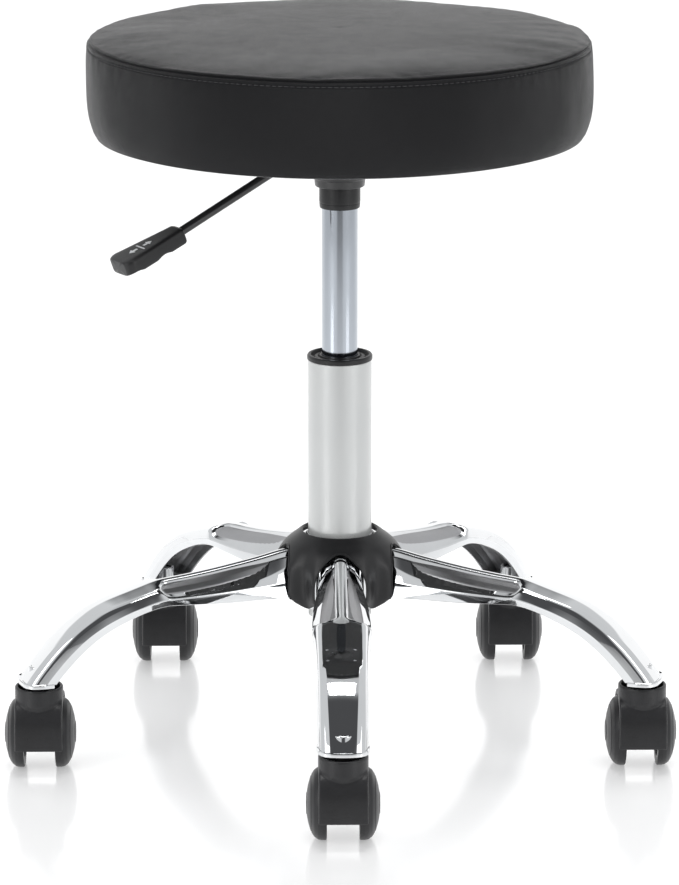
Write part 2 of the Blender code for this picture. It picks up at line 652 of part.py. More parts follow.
def wheel_mesh():
    """A wheel about X with its outer face towards +X, turned so that a flat of its tread is down."""
    tread = WHEEL_RADIUS / math.cos(math.pi / WHEEL_STEPS)
    bore = AXLE_RADIUS + GAP
    mesh = turned("wheel", [(0.0, WHEEL_OUTER_X), (0.014, 0.0262), (0.0225, 0.0234), (0.0265, 0.0200),
                            (tread, 0.0168), (tread, WHEEL_INNER_X), (bore, WHEEL_INNER_X),
                            (bore, 0.0215), (0.0, 0.0215)], False, WHEEL_STEPS)
    mesh.transform(Matrix.Rotation(math.pi / 2, 4, "Y") @ Matrix.Rotation(math.pi / WHEEL_STEPS, 4, "Z"))
    return mesh


def stem_mesh():
    shoulder = CUP_TOP + 0.0009
    return turned("caster_stem", [(0.0, STEM_TOP), (STEM_RADIUS, STEM_TOP - 0.0005), (STEM_RADIUS, shoulder),
                                  (0.0080, shoulder), (0.0080, shoulder - 0.002),
                                  (STEM_RADIUS, shoulder - 0.002), (STEM_RADIUS, STEM_BOTTOM),
                                  (0.0, STEM_BOTTOM)], False, 12)


def casters(parent):
    hood, stem, wheel = hood_mesh(), stem_mesh(), wheel_mesh()
    axle = bar("caster_axle", AXLE_RADIUS, 0.042, (0, 0, 0), "X", 10)
    for k in range(ARM_COUNT):
        heading = math.radians(FRONT_ARM_ANGLE + k * ARM_PITCH)
        foot = (PINTLE_RADIUS * math.cos(heading), PINTLE_RADIUS * math.sin(heading), 0.0)
        pintle = empty(f"caster_swivel_{k + 1}", foot, parent)
        hub = empty(f"wheel_centre_{k + 1}", (0.0, AXLE_OFFSET, WHEEL_RADIUS), pintle)
        place(f"caster_stem_{k + 1}", stem, pintle, STEEL)
        place(f"caster_hood_{k + 1}", hood, pintle, BLACK_PLASTIC)
        place(f"caster_axle_{k + 1}", axle, hub, STEEL)
        place(f"wheel_right_{k + 1}", wheel, hub, BLACK_PLASTIC)
        left = place(f"wheel_left_{k + 1}", wheel, hub, BLACK_PLASTIC)
        left.rotation_euler.z = math.pi


# ---- assembly ---------------------------------------------------------------------------------------------
def build():
    column = empty("column_axis", (0.0, AXIS_Y, 0.0))
    base(column)
    outer_tube(column)
    casters(column)
    spindle = empty("seat_swivel", (0.0, 0.0, TUBE_BOTTOM), column)
    piston_stack(grounded(spindle, TUBE_BOTTOM))
    lift = empty("seat_lift", (0.0, 0.0, 0.0), column)
    cylinder(lift)
    seat_mount(lift)
    seat_cushion(lift)
    pin_guide = empty("release_slide", (0.0, 0.0, CYLINDER_TOP), lift)
    release_pin(pin_guide)
    heading = math.radians(LEVER_ANGLE)
    pivot = (LEVER_PIVOT_R * math.cos(heading), LEVER_PIVOT_R * math.sin(heading), LEVER_PIVOT_Z)
    lever(empty("lever_pivot", pivot, lift, (0.0, 0.0, heading)))


def grounded(frame, height):
    """An empty on the same axis at floor level, for pieces whose heights are given from the floor."""
    return empty(f"{frame.name}_floor", (0.0, 0.0, -height), frame)


build()
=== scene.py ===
"""Looks of the pedicure stool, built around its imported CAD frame.

Metres, +Z up, the floor at z = 0, one arm towards -Y. Sizes that follow the CAD part are repeated
here as constants, and places come from the frame's own boxes.
"""
import json
import math
import random

import bmesh
import bpy
from mathutils import Matrix, Vector, noise
from mathutils.bvhtree import BVHTree


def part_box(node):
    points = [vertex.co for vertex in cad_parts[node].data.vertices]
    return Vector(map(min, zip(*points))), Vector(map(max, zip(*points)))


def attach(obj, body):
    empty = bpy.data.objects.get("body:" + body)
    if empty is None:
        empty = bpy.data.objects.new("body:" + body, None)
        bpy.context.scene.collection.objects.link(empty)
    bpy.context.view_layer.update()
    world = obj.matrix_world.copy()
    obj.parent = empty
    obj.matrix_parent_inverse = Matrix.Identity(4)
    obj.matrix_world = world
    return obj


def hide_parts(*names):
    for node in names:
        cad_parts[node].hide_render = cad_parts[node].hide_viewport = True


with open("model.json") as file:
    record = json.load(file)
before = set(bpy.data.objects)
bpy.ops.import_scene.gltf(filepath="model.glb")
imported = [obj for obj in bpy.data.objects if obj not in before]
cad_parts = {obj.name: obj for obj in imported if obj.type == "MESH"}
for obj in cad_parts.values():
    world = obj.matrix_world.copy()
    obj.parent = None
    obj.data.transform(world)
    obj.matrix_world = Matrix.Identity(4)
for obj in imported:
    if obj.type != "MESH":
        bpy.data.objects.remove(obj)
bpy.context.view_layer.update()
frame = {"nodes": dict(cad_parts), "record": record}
NODES = frame["nodes"]
random.seed(7)


# ---- places taken from the frame ----
def middle(node):
    low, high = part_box(node)
    return (low + high) / 2


def heights(node):
    low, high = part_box(node)
    return low.z, high.z


AXIS = Vector((middle("outer_column").x, middle("outer_column").y, 0.0))
ARM_COUNT = 5
ARM_ANGLES = [math.radians(-90.0 + 72.0 * k) for k in range(ARM_COUNT)]
FEET = [Vector((middle(f"caster_stem_{k + 1}").x, middle(f"caster_stem_{k + 1}").y, 0.0))
        for k in range(ARM_COUNT)]
AXLE_OFFSET = middle("caster_axle_1").y - FEET[0].y
AXLE_Z = middle("caster_axle_1").z


# ---- mesh helpers ----
def polar(radius, angle, z=0.0):
    return Vector((radius * math.cos(angle), radius * math.sin(angle), z))


def turns(count):
    return [math.tau * i / count for i in range(count)]


def to_mesh(work, name):
    bmesh.ops.recalc_face_normals(work, faces=work.faces)
    mesh = bpy.data.meshes.new(name)
    work.to_mesh(mesh)
    work.free()
    return mesh


def softened(corners, steps=3):
    """Rounds the corners of an open line of (x, y, radius). A corner with no radius stays one point."""
    points = [Vector(corners[0][:2])]
    for before, corner, after in zip(corners, corners[1:], corners[2:]):
        here = Vector(corner[:2])
        if corner[2] == 0:
            points.append(here)
            continue
        back, ahead = Vector(before[:2]) - here, Vector(after[:2]) - here
        half = back.angle(ahead) / 2
        reach = min(corner[2] / math.tan(half), back.length * 0.48, ahead.length * 0.48)
        start, stop = here + back.normalized() * reach, here + ahead.normalized() * reach
        for i in range(steps + 1):
            t = i / steps
            points.append(start * (1 - t) ** 2 + here * 2 * t * (1 - t) + stop * t ** 2)
    points.append(Vector(corners[-1][:2]))
    return points


def spline(keys, count):
    """count rows of numbers on a smooth curve through the rows of keys."""
    rows = []
    for i in range(count):
        place = i / (count - 1) * (len(keys) - 1)
        j = min(int(place), len(keys) - 2)
        t = place - j
        a, b = keys[max(j - 1, 0)], keys[j]
        c, d = keys[j + 1], keys[min(j + 2, len(keys) - 1)]
        rows.append([0.5 * (2 * q + (r - p) * t + (2 * p - 5 * q + 4 * r - s) * t * t
                            + (3 * q - p - 3 * r + s) * t ** 3) for p, q, r, s in zip(a, b, c, d)])
    return rows


def skin_rows(work, rows, closed=False):
    """Quads between rows of vertices. Repeated vertices at an axis make triangles."""
    for upper, lower in zip(rows, rows[1:]):
        count = len(upper)
        for i in range(count if closed else count - 1):
            j = (i + 1) % count
            face = list(dict.fromkeys((upper[i], upper[j], lower[j], lower[i])))
            if len(face) > 2:
                work.faces.new(face)


def lathe(profile, steps=96, closed=True):
    """Turns (radius, height) points about Z."""
    work = bmesh.new()
    rows = []
    for r, z in profile:
        if r < 1e-6:
            rows.append([work.verts.new((0, 0, z))] * steps)
        else:
            rows.append([work.verts.new(polar(r, a, z)) for a in turns(steps)])
    if closed:
        rows.append(rows[0])
    skin_rows(work, rows, closed=True)
    return to_mesh(work, "turned")


def loop_softened(corners, steps=3):
    """softened, for a closed line of (x, y, radius) corners."""
    first, last = corners[0], corners[-1]
    start = ((first[0] + last[0]) / 2, (first[1] + last[1]) / 2, 0)
    return softened([start, *corners, start], steps)[:-1]


def prism(outline, low, high):
    """A closed outline of (y, z) carried along X."""
    work = bmesh.new()
    ends = [[work.verts.new((x, y, z)) for y, z in outline] for x in (low, high)]
    skin_rows(work, ends, closed=True)
    for end in ends:
        work.faces.new(end)
    return to_mesh(work, "prism")


def tube(path, radius, steps):
    """A round bar along a path of points. radius may be one number or one for each point."""
    work = bmesh.new()
    rows = []
    side = None
    for i, point in enumerate(path):
        along = (Vector(path[min(i + 1, len(path) - 1)]) - Vector(path[max(i - 1, 0)])).normalized()
        if side is None:
            side = along.orthogonal().normalized()
        side = (side - along * side.dot(along)).normalized()
        other = along.cross(side)
        r = radius[i] if isinstance(radius, (list, tuple)) else radius
        rows.append([work.verts.new(Vector(point) + (side * math.cos(a) + other * math.sin(a)) * r)
                     for a in turns(steps)])
    skin_rows(work, rows, closed=True)
    work.faces.new(rows[0])
    work.faces.new(rows[-1])
    return to_mesh(work, "tube")


def moved(mesh, matrix):
    result = mesh.copy()
    result.transform(matrix)
    if matrix.to_3x3().determinant() < 0:
        result.flip_normals()
    return result


def together(meshes, name):
    work = bmesh.new()
    for mesh in meshes:
        work.from_mesh(mesh)
    mesh = bpy.data.meshes.new(name)
    work.to_mesh(mesh)
    work.free()
    return mesh


def scratch(data, name="scratch"):
    item = bpy.data.objects.new(name, data)
    bpy.context.scene.collection.objects.link(item)
    return item


def taken(item):
    """The mesh of an object with its modifiers applied. The object is removed."""
    bpy.context.view_layer.update()
    shown = item.evaluated_get(bpy.context.evaluated_depsgraph_get())
    mesh = bpy.data.meshes.new_from_object(shown)
    bpy.data.objects.remove(item, do_unlink=True)
    return mesh


def minus(mesh, cuts):
    item = scratch(mesh)
    tool = scratch(together(cuts, "cuts"), "cuts")
    step = item.modifiers.new("cut", "BOOLEAN")
    step.operation = "DIFFERENCE"
    step.solver = "EXACT"
    step.object = tool
    result = taken(item)
    bpy.data.objects.remove(tool, do_unlink=True)
    return result


def voxelled(mesh, size):
    item = scratch(mesh)
    step = item.modifiers.new("remesh", "REMESH")
    step.mode = "VOXEL"
    step.voxel_size = size
    return taken(item)


def fused(meshes, voxel, rounds, name):
    """Closed bodies melted into one, with small fillets where they meet."""
    work = bmesh.new()
    work.from_mesh(voxelled(together(meshes, name), voxel))
    for _ in range(rounds):
        bmesh.ops.smooth_vert(work, verts=work.verts, factor=0.5, use_axis_x=True, use_axis_y=True,
                              use_axis_z=True)
    return to_mesh(work, name)


def piece(name, mesh, body, slot, replaced, sharp, place, look=None):
    """Adds a visible piece, in its place in the row frame, riding on a body."""
    if not mesh.materials:
        mesh.materials.append(look or LOOKS[slot])
    mesh.shade_smooth()
    if sharp:
        mesh.set_sharp_from_angle(angle=math.radians(sharp))
    item = scratch(mesh, name)
    item.matrix_world = place
    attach(item, body)
    if replaced:
        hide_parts(*replaced)
    return item


def at(point, angle=0.0):
    return Matrix.Translation(point) @ Matrix.Rotation(angle, 4, "Z")


def turned(name, corners, body, slot, node, sharp=40):
    """A piece turned about the column's axis from a closed line of (radius, height, rounding)."""
    piece(name, lathe(loop_softened(corners)), body, slot, [node], sharp, at(AXIS))


# ---- materials ----
class Graph:
    """A tree of shader nodes."""

    def __init__(self, owner):
        owner.use_nodes = True
        self.tree = owner.node_tree

    def node(self, kind, inputs=None, **settings):
        made = self.tree.nodes.new("ShaderNode" + kind)
        for key, value in settings.items():
            setattr(made, key, value)
        for key, value in (inputs or {}).items():
            if isinstance(value, bpy.types.NodeSocket):
                self.tree.links.new(value, made.inputs[key])
            else:
                made.inputs[key].default_value = value
        return made


class Look(Graph):
    """A node material with its coordinates in metres on the piece itself."""

    def __init__(self, name, **sockets):
        self.material = bpy.data.materials.new(name)
        super().__init__(self.material)
        self.shader = self.tree.nodes["Principled BSDF"]
        self.set(**sockets)
        self.where = self.tree.nodes.new("ShaderNodeTexCoord").outputs["Object"]
        self.normal = None

    def set(self, **sockets):
        for key, value in sockets.items():
            socket = self.shader.inputs[key.replace("_", " ")]
            socket.default_value = (*value, 1.0) if isinstance(value, tuple) else value

    def stretched(self, x, y, z):
        return self.node("Mapping", {"Vector": self.where, "Scale": (x, y, z)}).outputs["Vector"]

    def noise(self, scale, detail=3.0, roughness=0.55, where=None, distortion=0.0):
        made = self.node("TexNoise", {"Vector": where or self.where, "Scale": scale, "Detail": detail,
                                      "Roughness": roughness, "Distortion": distortion})
        return made.outputs["Fac"]

    def cells(self, scale, feature="F1", where=None, randomness=1.0):
        made = self.node("TexVoronoi", {"Vector": where or self.where, "Scale": scale,
                                        "Randomness": randomness}, feature=feature)
        return made.outputs["Distance"]

    def ranged(self, value, low, high, to_low=0.0, to_high=1.0):
        made = self.node("MapRange", {"Value": value, "From Min": low, "From Max": high,
                                      "To Min": to_low, "To Max": to_high})
        return made.outputs["Result"]

    def sum(self, a, b, share=1.0):
        return self.node("Math", {0: b, 1: share, 2: a}, operation="MULTIPLY_ADD").outputs[0]

    def blend(self, factor, a, b):
        made = self.node("Mix", {0: factor, 6: (*a, 1.0), 7: (*b, 1.0)}, data_type="RGBA")
        return made.outputs[2]

    def link(self, key, value):
        self.tree.links.new(value, self.shader.inputs[key])

    def tint(self, value, low, high, a, b):
        """Base colour a where value is low and b where it is high."""
        self.link("Base Color", self.blend(self.ranged(value, low, high), a, b))

    def rough(self, value, low, high, smooth, dull):
        self.link("Roughness", self.ranged(value, low, high, smooth, dull))

    def bump(self, height, distance, strength=1.0):
        inputs = {"Height": height, "Distance": distance, "Strength": strength}
        if self.normal:
            inputs["Normal"] = self.normal
        self.normal = self.node("Bump", inputs).outputs["Normal"]
        self.link("Normal", self.normal)


def chrome(name, colour, rough, haze, streak=None):
    look = Look(name, Metallic=1.0, Base_Color=colour)
    smudge = look.noise(14.0, 4.0, 0.6)
    fine = look.noise(420.0, 2.0)
    mixed = look.sum(smudge, fine, 0.35)
    look.rough(mixed, 0.45, 0.95, rough, haze)
    look.tint(smudge, 0.35, 0.7, colour, tuple(c * 0.93 for c in colour))
    look.bump(look.noise(30.0, 2.0), 0.00006, 0.25)
    if streak:
        look.bump(look.noise(1.0, 3.0, where=look.stretched(*streak)), 0.00002, 0.5)
    return look.material


def plastic(name, low, high, rough, grain, grain_size, depth):
    """Moulded plastic with a spark-eroded grain."""
    look = Look(name, Specular_IOR_Level=0.34)
    look.tint(look.noise(35.0, 4.0, 0.6), 0.35, 0.65, low, high)
    speckle = look.noise(grain, 3.0, 0.7)
    look.rough(speckle, 0.3, 0.7, rough - 0.07, rough + 0.09)
    look.bump(look.sum(speckle, look.cells(grain_size), 0.6), depth, 0.55)
    look.bump(look.noise(60.0, 2.0), 0.0002, 0.15)
    return look.material


def vinyl_look():
    look = Look("black_vinyl", Specular_IOR_Level=0.15, IOR=1.48)
    warp = look.noise(90.0, 3.0, 0.6)
    waver = look.node("TexNoise", {"Vector": look.where, "Scale": 160.0, "Detail": 2.0}).outputs["Color"]
    spread = look.node("VectorMath", {0: look.where, 1: waver, 2: (0.0016, 0.0016, 0.0016)},
                       operation="MULTIPLY_ADD").outputs["Vector"]
    pebbles = look.ranged(look.cells(620.0, "DISTANCE_TO_EDGE", where=spread), 0.0, 0.22)
    creases = look.ranged(look.cells(260.0, "DISTANCE_TO_EDGE", where=spread), 0.0, 0.09)
    height = look.sum(pebbles, creases, 0.8)
    look.tint(look.noise(7.0, 3.0), 0.3, 0.7, (0.0075, 0.0075, 0.0084), (0.011, 0.011, 0.0121))
    dull = look.sum(look.ranged(warp, 0.3, 0.7, 0.0, 0.05), look.ranged(height, 0.0, 1.8, 0.1, 0.0))
    look.link("Roughness", look.sum(look.ranged(look.noise(5.0, 2.0), 0.3, 0.7, 0.27, 0.32), dull))
    look.bump(height, 0.00022, 0.42)
    look.bump(look.noise(1100.0, 2.0), 0.00006, 0.35)
    return look.material


def lacquer_look():
    look = Look("silver_lacquer", Metallic=0.25, Coat_Weight=0.15, Coat_Roughness=0.2)
    flake = look.noise(2600.0, 1.0)
    tone = look.sum(look.noise(9.0, 2.0), flake, 0.25)
    look.tint(tone, 0.4, 0.85, (0.66, 0.67, 0.66), (0.6, 0.61, 0.61))
    look.rough(tone, 0.4, 0.85, 0.26, 0.34)
    look.bump(flake, 0.00003, 0.25)
    look.bump(look.noise(90.0, 2.0), 0.00004, 0.2)
    return look.material


def paint_look():
    look = Look("black_paint", Specular_IOR_Level=0.5, Coat_Weight=0.15, Coat_Roughness=0.25)
    peel = look.noise(240.0, 2.0)
    look.tint(look.noise(40.0), 0.3, 0.7, (0.01, 0.01, 0.011), (0.016, 0.016, 0.017))
    look.rough(peel, 0.3, 0.7, 0.3, 0.42)
    look.bump(peel, 0.0001, 0.3)
    return look.material


def cloth_look():
    look = Look("dust_cloth", Sheen_Weight=0.2, Sheen_Roughness=0.5, Roughness=0.95)
    fibres = look.sum(look.noise(700.0, 3.0, where=look.stretched(1.0, 0.15, 1.0)),
                      look.noise(700.0, 3.0, where=look.stretched(0.15, 1.0, 1.0)))
    dots = look.ranged(look.cells(520.0, randomness=0.0), 0.15, 0.4)
    look.tint(fibres, 0.7, 1.3, (0.012, 0.012, 0.012), (0.035, 0.035, 0.036))
    look.bump(look.sum(fibres, dots, 0.8), 0.0002, 0.5)
    return look.material


def wood_look():
    look = Look("plywood", Roughness=0.7)
    ply = look.noise(6.0, 4.0, where=look.stretched(1.0, 6.0, 900.0), distortion=0.4)
    look.tint(ply, 0.35, 0.65, (0.52, 0.36, 0.2), (0.66, 0.49, 0.31))
    look.bump(ply, 0.0002, 0.4)
    return look.material


def foam_look():
    look = Look("foam", Roughness=0.95)
    pores = look.cells(450.0)
    look.tint(pores, 0.1, 0.6, (0.55, 0.47, 0.28), (0.78, 0.71, 0.48))
    look.bump(pores, 0.0006, 0.6)
    return look.material


def thread_look():
    look = Look("thread", Roughness=0.75, Sheen_Weight=0.2)
    twist = look.node("TexWave", {"Vector": look.where, "Scale": 900.0, "Distortion": 1.0},
                      bands_direction="DIAGONAL").outputs["Fac"]
    look.link("Base Color", look.blend(twist, (0.016, 0.016, 0.018), (0.04, 0.04, 0.044)))
    look.bump(twist, 0.0001, 0.5)
    return look.material


def print_look():
    look = Look("print", Roughness=0.5)
    look.tint(look.noise(900.0, 3.0), 0.3, 0.6, (0.55, 0.56, 0.58), (0.78, 0.79, 0.8))
    return look.material


# Looks by record slot. The CAD nodes that stay as they are take theirs from here too.
LOOKS = {
    "chrome": chrome("chrome", (0.76, 0.77, 0.78), 0.018, 0.05),
    "cylinder_steel": chrome("cylinder_steel", (0.44, 0.47, 0.51), 0.08, 0.15, (40.0, 40.0, 1.0)),
    "plain_steel": chrome("plain_steel", (0.52, 0.52, 0.54), 0.22, 0.4),
    "silver_lacquer": lacquer_look(),
    "black_plastic": plastic("black_plastic", (0.013, 0.013, 0.014), (0.018, 0.018, 0.019), 0.36, 1500.0,
                             900.0, 0.00006),
    "wheel_nylon": plastic("wheel_nylon", (0.018, 0.018, 0.019), (0.024, 0.024, 0.026), 0.36, 1200.0,
                           800.0, 0.00009),
    "acetal": plastic("acetal", (0.74, 0.74, 0.71), (0.82, 0.82, 0.79), 0.4, 1200.0, 800.0, 0.00004),
    "rubber": plastic("rubber", (0.025, 0.025, 0.025), (0.035, 0.035, 0.035), 0.7, 900.0, 600.0, 0.00015),
    "black_paint": paint_look(),
    "black_vinyl": vinyl_look(),
    "dust_cloth": cloth_look(),
    "plywood": wood_look(),
    "foam": foam_look(),
}
ARM_INSIDE = chrome("arm_inside", (0.42, 0.42, 0.43), 0.3, 0.48)
CASTER_PLASTIC = plastic("caster_plastic", (0.019, 0.019, 0.02), (0.026, 0.026, 0.028), 0.34, 900.0, 700.0,
                         0.00016)
THREAD = thread_look()
PRINT = print_look()

for part in frame["record"]["subparts"]:
    mesh = NODES[part["node"]].data
    mesh.materials.clear()
    mesh.materials.append(LOOKS[part["material_slot"]])


# ---- gas lift ----
TUBE_RADIUS = 0.025
TUBE_BOTTOM, TUBE_TOP = heights("outer_column")
CYLINDER_RADIUS = 0.014
GLIDE = 0.0003  # clearance round the sliding cylinder


def gas_lift():
    bore = TUBE_RADIUS - 0.0018
    floor = TUBE_BOTTOM + 0.003
    wall = [(TUBE_RADIUS, TUBE_BOTTOM, 0.0006), (TUBE_RADIUS, TUBE_TOP, 0.0006), (bore, TUBE_TOP, 0.0003),
            (bore, floor, 0.0005), (0.0056, floor, 0.0003), (0.0056, TUBE_BOTTOM, 0.0003)]
    turned("column_tube", wall, "base", "silver_lacquer", "outer_column")
    rim, crest = TUBE_TOP + GLIDE, heights("column_cap")[1]
    inner, plug = CYLINDER_RADIUS + GLIDE, bore - GLIDE
    cap = [
        (0.0256, rim, 0.0003), (0.0256, crest - 0.0012, 0.0007), (0.0249, crest, 0.0007),
        (0.0228, crest, 0.0005), (0.0224, crest - 0.0024, 0.0004), (0.02, crest - 0.0026, 0.0003),
        (0.0197, crest - 0.0016, 0.0004), (0.0172, crest - 0.0014, 0.0004), (0.0168, crest - 0.0026, 0.0003),
        (0.0161, crest - 0.0026, 0.0003), (0.0158, crest - 0.0006, 0.0004), (inner, crest - 0.0004, 0.0004),
        (inner, rim - 0.015, 0.0003), (plug, rim - 0.015, 0.0003), (plug, rim, 0.0002)]
    turned("column_collar", cap, "base", "black_plastic", "column_cap")
    low, high = heights("inner_cylinder")
    inside = CYLINDER_RADIUS - 0.002
    shaft = [(CYLINDER_RADIUS, low, 0.001), (CYLINDER_RADIUS, high, 0.001), (0.0028, high, 0.0003),
             (0.0028, high - 0.016, 0.0003), (inside, high - 0.016, 0.0003), (inside, low, 0.0003)]
    turned("lift_cylinder", shaft, "seat", "cylinder_steel", "inner_cylinder")
    low, high = heights("cylinder_sleeve")
    sleeve = [
        (0.016, high, 0.0003), (0.016, low + 0.005, 0.0003), (0.0157, low + 0.0044, 0.0002),
        (0.0159, low + 0.0038, 0.0003), (0.0156, low, 0.0009), (inner, low, 0.0003), (inner, high, 0.0003)]
    turned("lift_sleeve", sleeve, "seat", "black_plastic", "cylinder_sleeve")


# ---- seat bell and plate ----
LEVER_ANGLE = math.radians(212.0)
LEVER_PIVOT = 0.024
PIVOT_Z = middle("lever_pivot_pin").z


def seat_bell():
    low, top = heights("socket_bell")
    throat = CYLINDER_RADIUS + GLIDE
    outline = loop_softened([
        (0.05, top, 0.0004), (0.05, top - 0.0026, 0.0008), (0.0455, top - 0.003, 0.003),
        (0.039, 0.4755, 0.006), (0.029, 0.4655, 0.006), (0.0232, 0.4588, 0.0016),
        (0.0222, 0.456, 0.0008), (0.02, 0.4552, 0.001), (0.0192, low, 0.001), (throat, low, 0.0004),
        (throat, 0.4575, 0.001), (0.0185, 0.4605, 0.002), (0.0272, 0.469, 0.003),
        (0.0372, 0.4795, 0.003), (0.0465, top, 0.001)])
    slot = prism(loop_softened([(y, z, 0.003) for y, z in
                                ((-0.0062, 0.4602), (0.0062, 0.4602), (0.0062, 0.485), (-0.0062, 0.485))]),
                 0.022, 0.062)
    slot.transform(Matrix.Rotation(LEVER_ANGLE, 4, "Z"))
    bell = minus(lathe(outline), [slot])
    piece("seat_bell", bell, "seat", "black_paint", ["socket_bell"], 35, at(AXIS))
    for name, width in (("seat_plate", 0.0011), *((f"plate_screw_{k}", 0.0004) for k in range(1, 5)),
                        ("lever_pivot_pin", 0.0004)):
        edge = NODES[name].modifiers.new("soft_edges", "BEVEL")
        edge.width = width
        edge.segments = 2
        edge.limit_method = "ANGLE"
        edge.angle_limit = math.radians(50)


# ---- height lever ----
LEVER_ROD_RADIUS = 0.0035
LEVER_BEND = 0.017
PADDLE_OUT, PADDLE_DROP = 0.119, 0.0465
PADDLE_SLOPE = math.radians(20.5)
PADDLE_LENGTH = 0.0575
PADDLE_DROOP = 0.0012
PADDLE_THICK = 0.013
PADDLE_WIDTHS = (0.0085, 0.0155)
ARROWS = ((0.0285, -1), (0.0415, 1))  # place along the paddle and heading
BAR_X = 0.035
BAR_HALF = (0.0006, 0.0062)


def along_paddle(distance):
    """A point on the paddle's centre line, from where the rod enters it, in the lever's own frame."""
    return Vector((PADDLE_OUT + distance * math.cos(PADDLE_SLOPE), 0.0,
                   -PADDLE_DROP - distance * math.sin(PADDLE_SLOPE)))


def lever_rod():
    entry, end = along_paddle(0.0), along_paddle(0.038)
    corners = [(-LEVER_PIVOT - 0.0045, 0.0, 0.0), (LEVER_BEND, 0.0, 0.012), (entry.x, entry.z, 0.03),
               (end.x, end.z, 0.0)]
    path = []
    line = softened(corners, 8)
    for a, b in zip(line, line[1:]):
        count = max(int((b - a).length / 0.006), 1)
        path += [a.lerp(b, i / count) for i in range(count)]
    path.append(line[-1])
    radii = [LEVER_ROD_RADIUS] * len(path)
    radii[0] = LEVER_ROD_RADIUS - 0.0008
    rod = tube([(p.x, 0.0, p.y) for p in path], radii, 20)
    eye = moved(lathe(loop_softened([(0.0053, -0.0045, 0.0006), (0.0053, 0.0045, 0.0006),
                                     (0.0023, 0.0045, 0.0003), (0.0023, -0.0045, 0.0003)]), 40),
                Matrix.Rotation(math.pi / 2, 4, "X"))
    return together([rod, eye], "lever_bar")


def paddle():
    """A moulded grip: flat and slightly dished on top, with finger scallops along its underside."""
    count, around = 56, 28
    work = bmesh.new()
    rows = []
    narrow, wide = PADDLE_WIDTHS
    for i in range(count + 1):
        t = i / count
        x = PADDLE_LENGTH * (0.5 - 0.5 * math.cos(math.pi * t))
        share = x / PADDLE_LENGTH
        half = narrow + (wide - narrow) * min(share / 0.9, 1.0)
        nose = max(0.0, (x - (PADDLE_LENGTH - 0.0085)) / 0.0085)
        half -= 0.006 * (1 - math.sqrt(max(1 - nose ** 2, 0.0)))
        neck = max(0.0, 1 - x / 0.002)
        half -= 0.001 * neck ** 2
        wave = max(0.0, math.sin((share - 0.27) / 0.73 * math.pi * 3)) if share > 0.27 else 0.0
        low = -PADDLE_THICK / 2 + 0.0017 * wave + 0.0009 * nose ** 2 + 0.0008 * neck
        high = PADDLE_THICK / 2 - 0.0009 * nose ** 2 - 0.0008 * neck
        row = []
        for k in range(around):
            a = math.tau * (k + 0.5) / around
            c, s = math.cos(a), math.sin(a)
            y = half * math.copysign(abs(c) ** 0.3, c)
            z = math.copysign(abs(s) ** 0.3, s)
            z = (high if z > 0 else -low) * z
            if s > 0:
                z -= 0.0006 * (1 - min(abs(y) / half, 1.0) ** 2) * math.sin(math.pi * share)
            row.append(work.verts.new((x, y, z - PADDLE_DROOP)))
        rows.append(row)
    skin_rows(work, rows, closed=True)
    for end, nudge in ((rows[0], -0.0004), (rows[-1], 0.0004)):
        hub = work.verts.new(Vector((end[0].co.x + nudge, 0, -PADDLE_DROOP)))
        for i in range(around):
            work.faces.new((end[i], end[(i + 1) % around], hub))
    return to_mesh(work, "paddle")


def arrows():
    """The raised marks on the paddle: one arrow up and one down beside a bar."""
    top = PADDLE_THICK / 2 - PADDLE_DROOP - 0.0003
    shaft, barb, point = (0.0036, 0.0013), (0.0002, 0.0036), 0.004
    half = [(point, 0.0), barb, (barb[0], shaft[1]), (-shaft[0], shaft[1])]
    arrow = half + [(x, -y) for x, y in half[:0:-1]]
    outlines = [[(middle_x + heading * x, y) for x, y in arrow] for middle_x, heading in ARROWS]
    across, along = BAR_HALF
    outlines.append([(BAR_X + i * across, j * along) for i, j in ((-1, -1), (1, -1), (1, 1), (-1, 1))])
    lying = Matrix(((0, 1, 0, 0), (0, 0, 1, 0), (1, 0, 0, 0), (0, 0, 0, 1)))
    return together([moved(prism(outline, top - 0.0006, top + 0.00012), lying) for outline in outlines],
                    "paddle_arrows")


def lever():
    pivot = AXIS + polar(LEVER_PIVOT, LEVER_ANGLE, PIVOT_Z)
    place = at(pivot, LEVER_ANGLE)
    piece("lever_bar", lever_rod(), "lever", "black_paint", ["lever_rod"], 50, place)
    grip = place @ Matrix.Translation(along_paddle(0.001)) @ Matrix.Rotation(PADDLE_SLOPE, 4, "Y")
    piece("lever_grip", paddle(), "lever", "black_plastic", ["lever_paddle"], 50, grip)
    piece("lever_marks", arrows(), "lever", "black_plastic", (), 30, grip, PRINT)


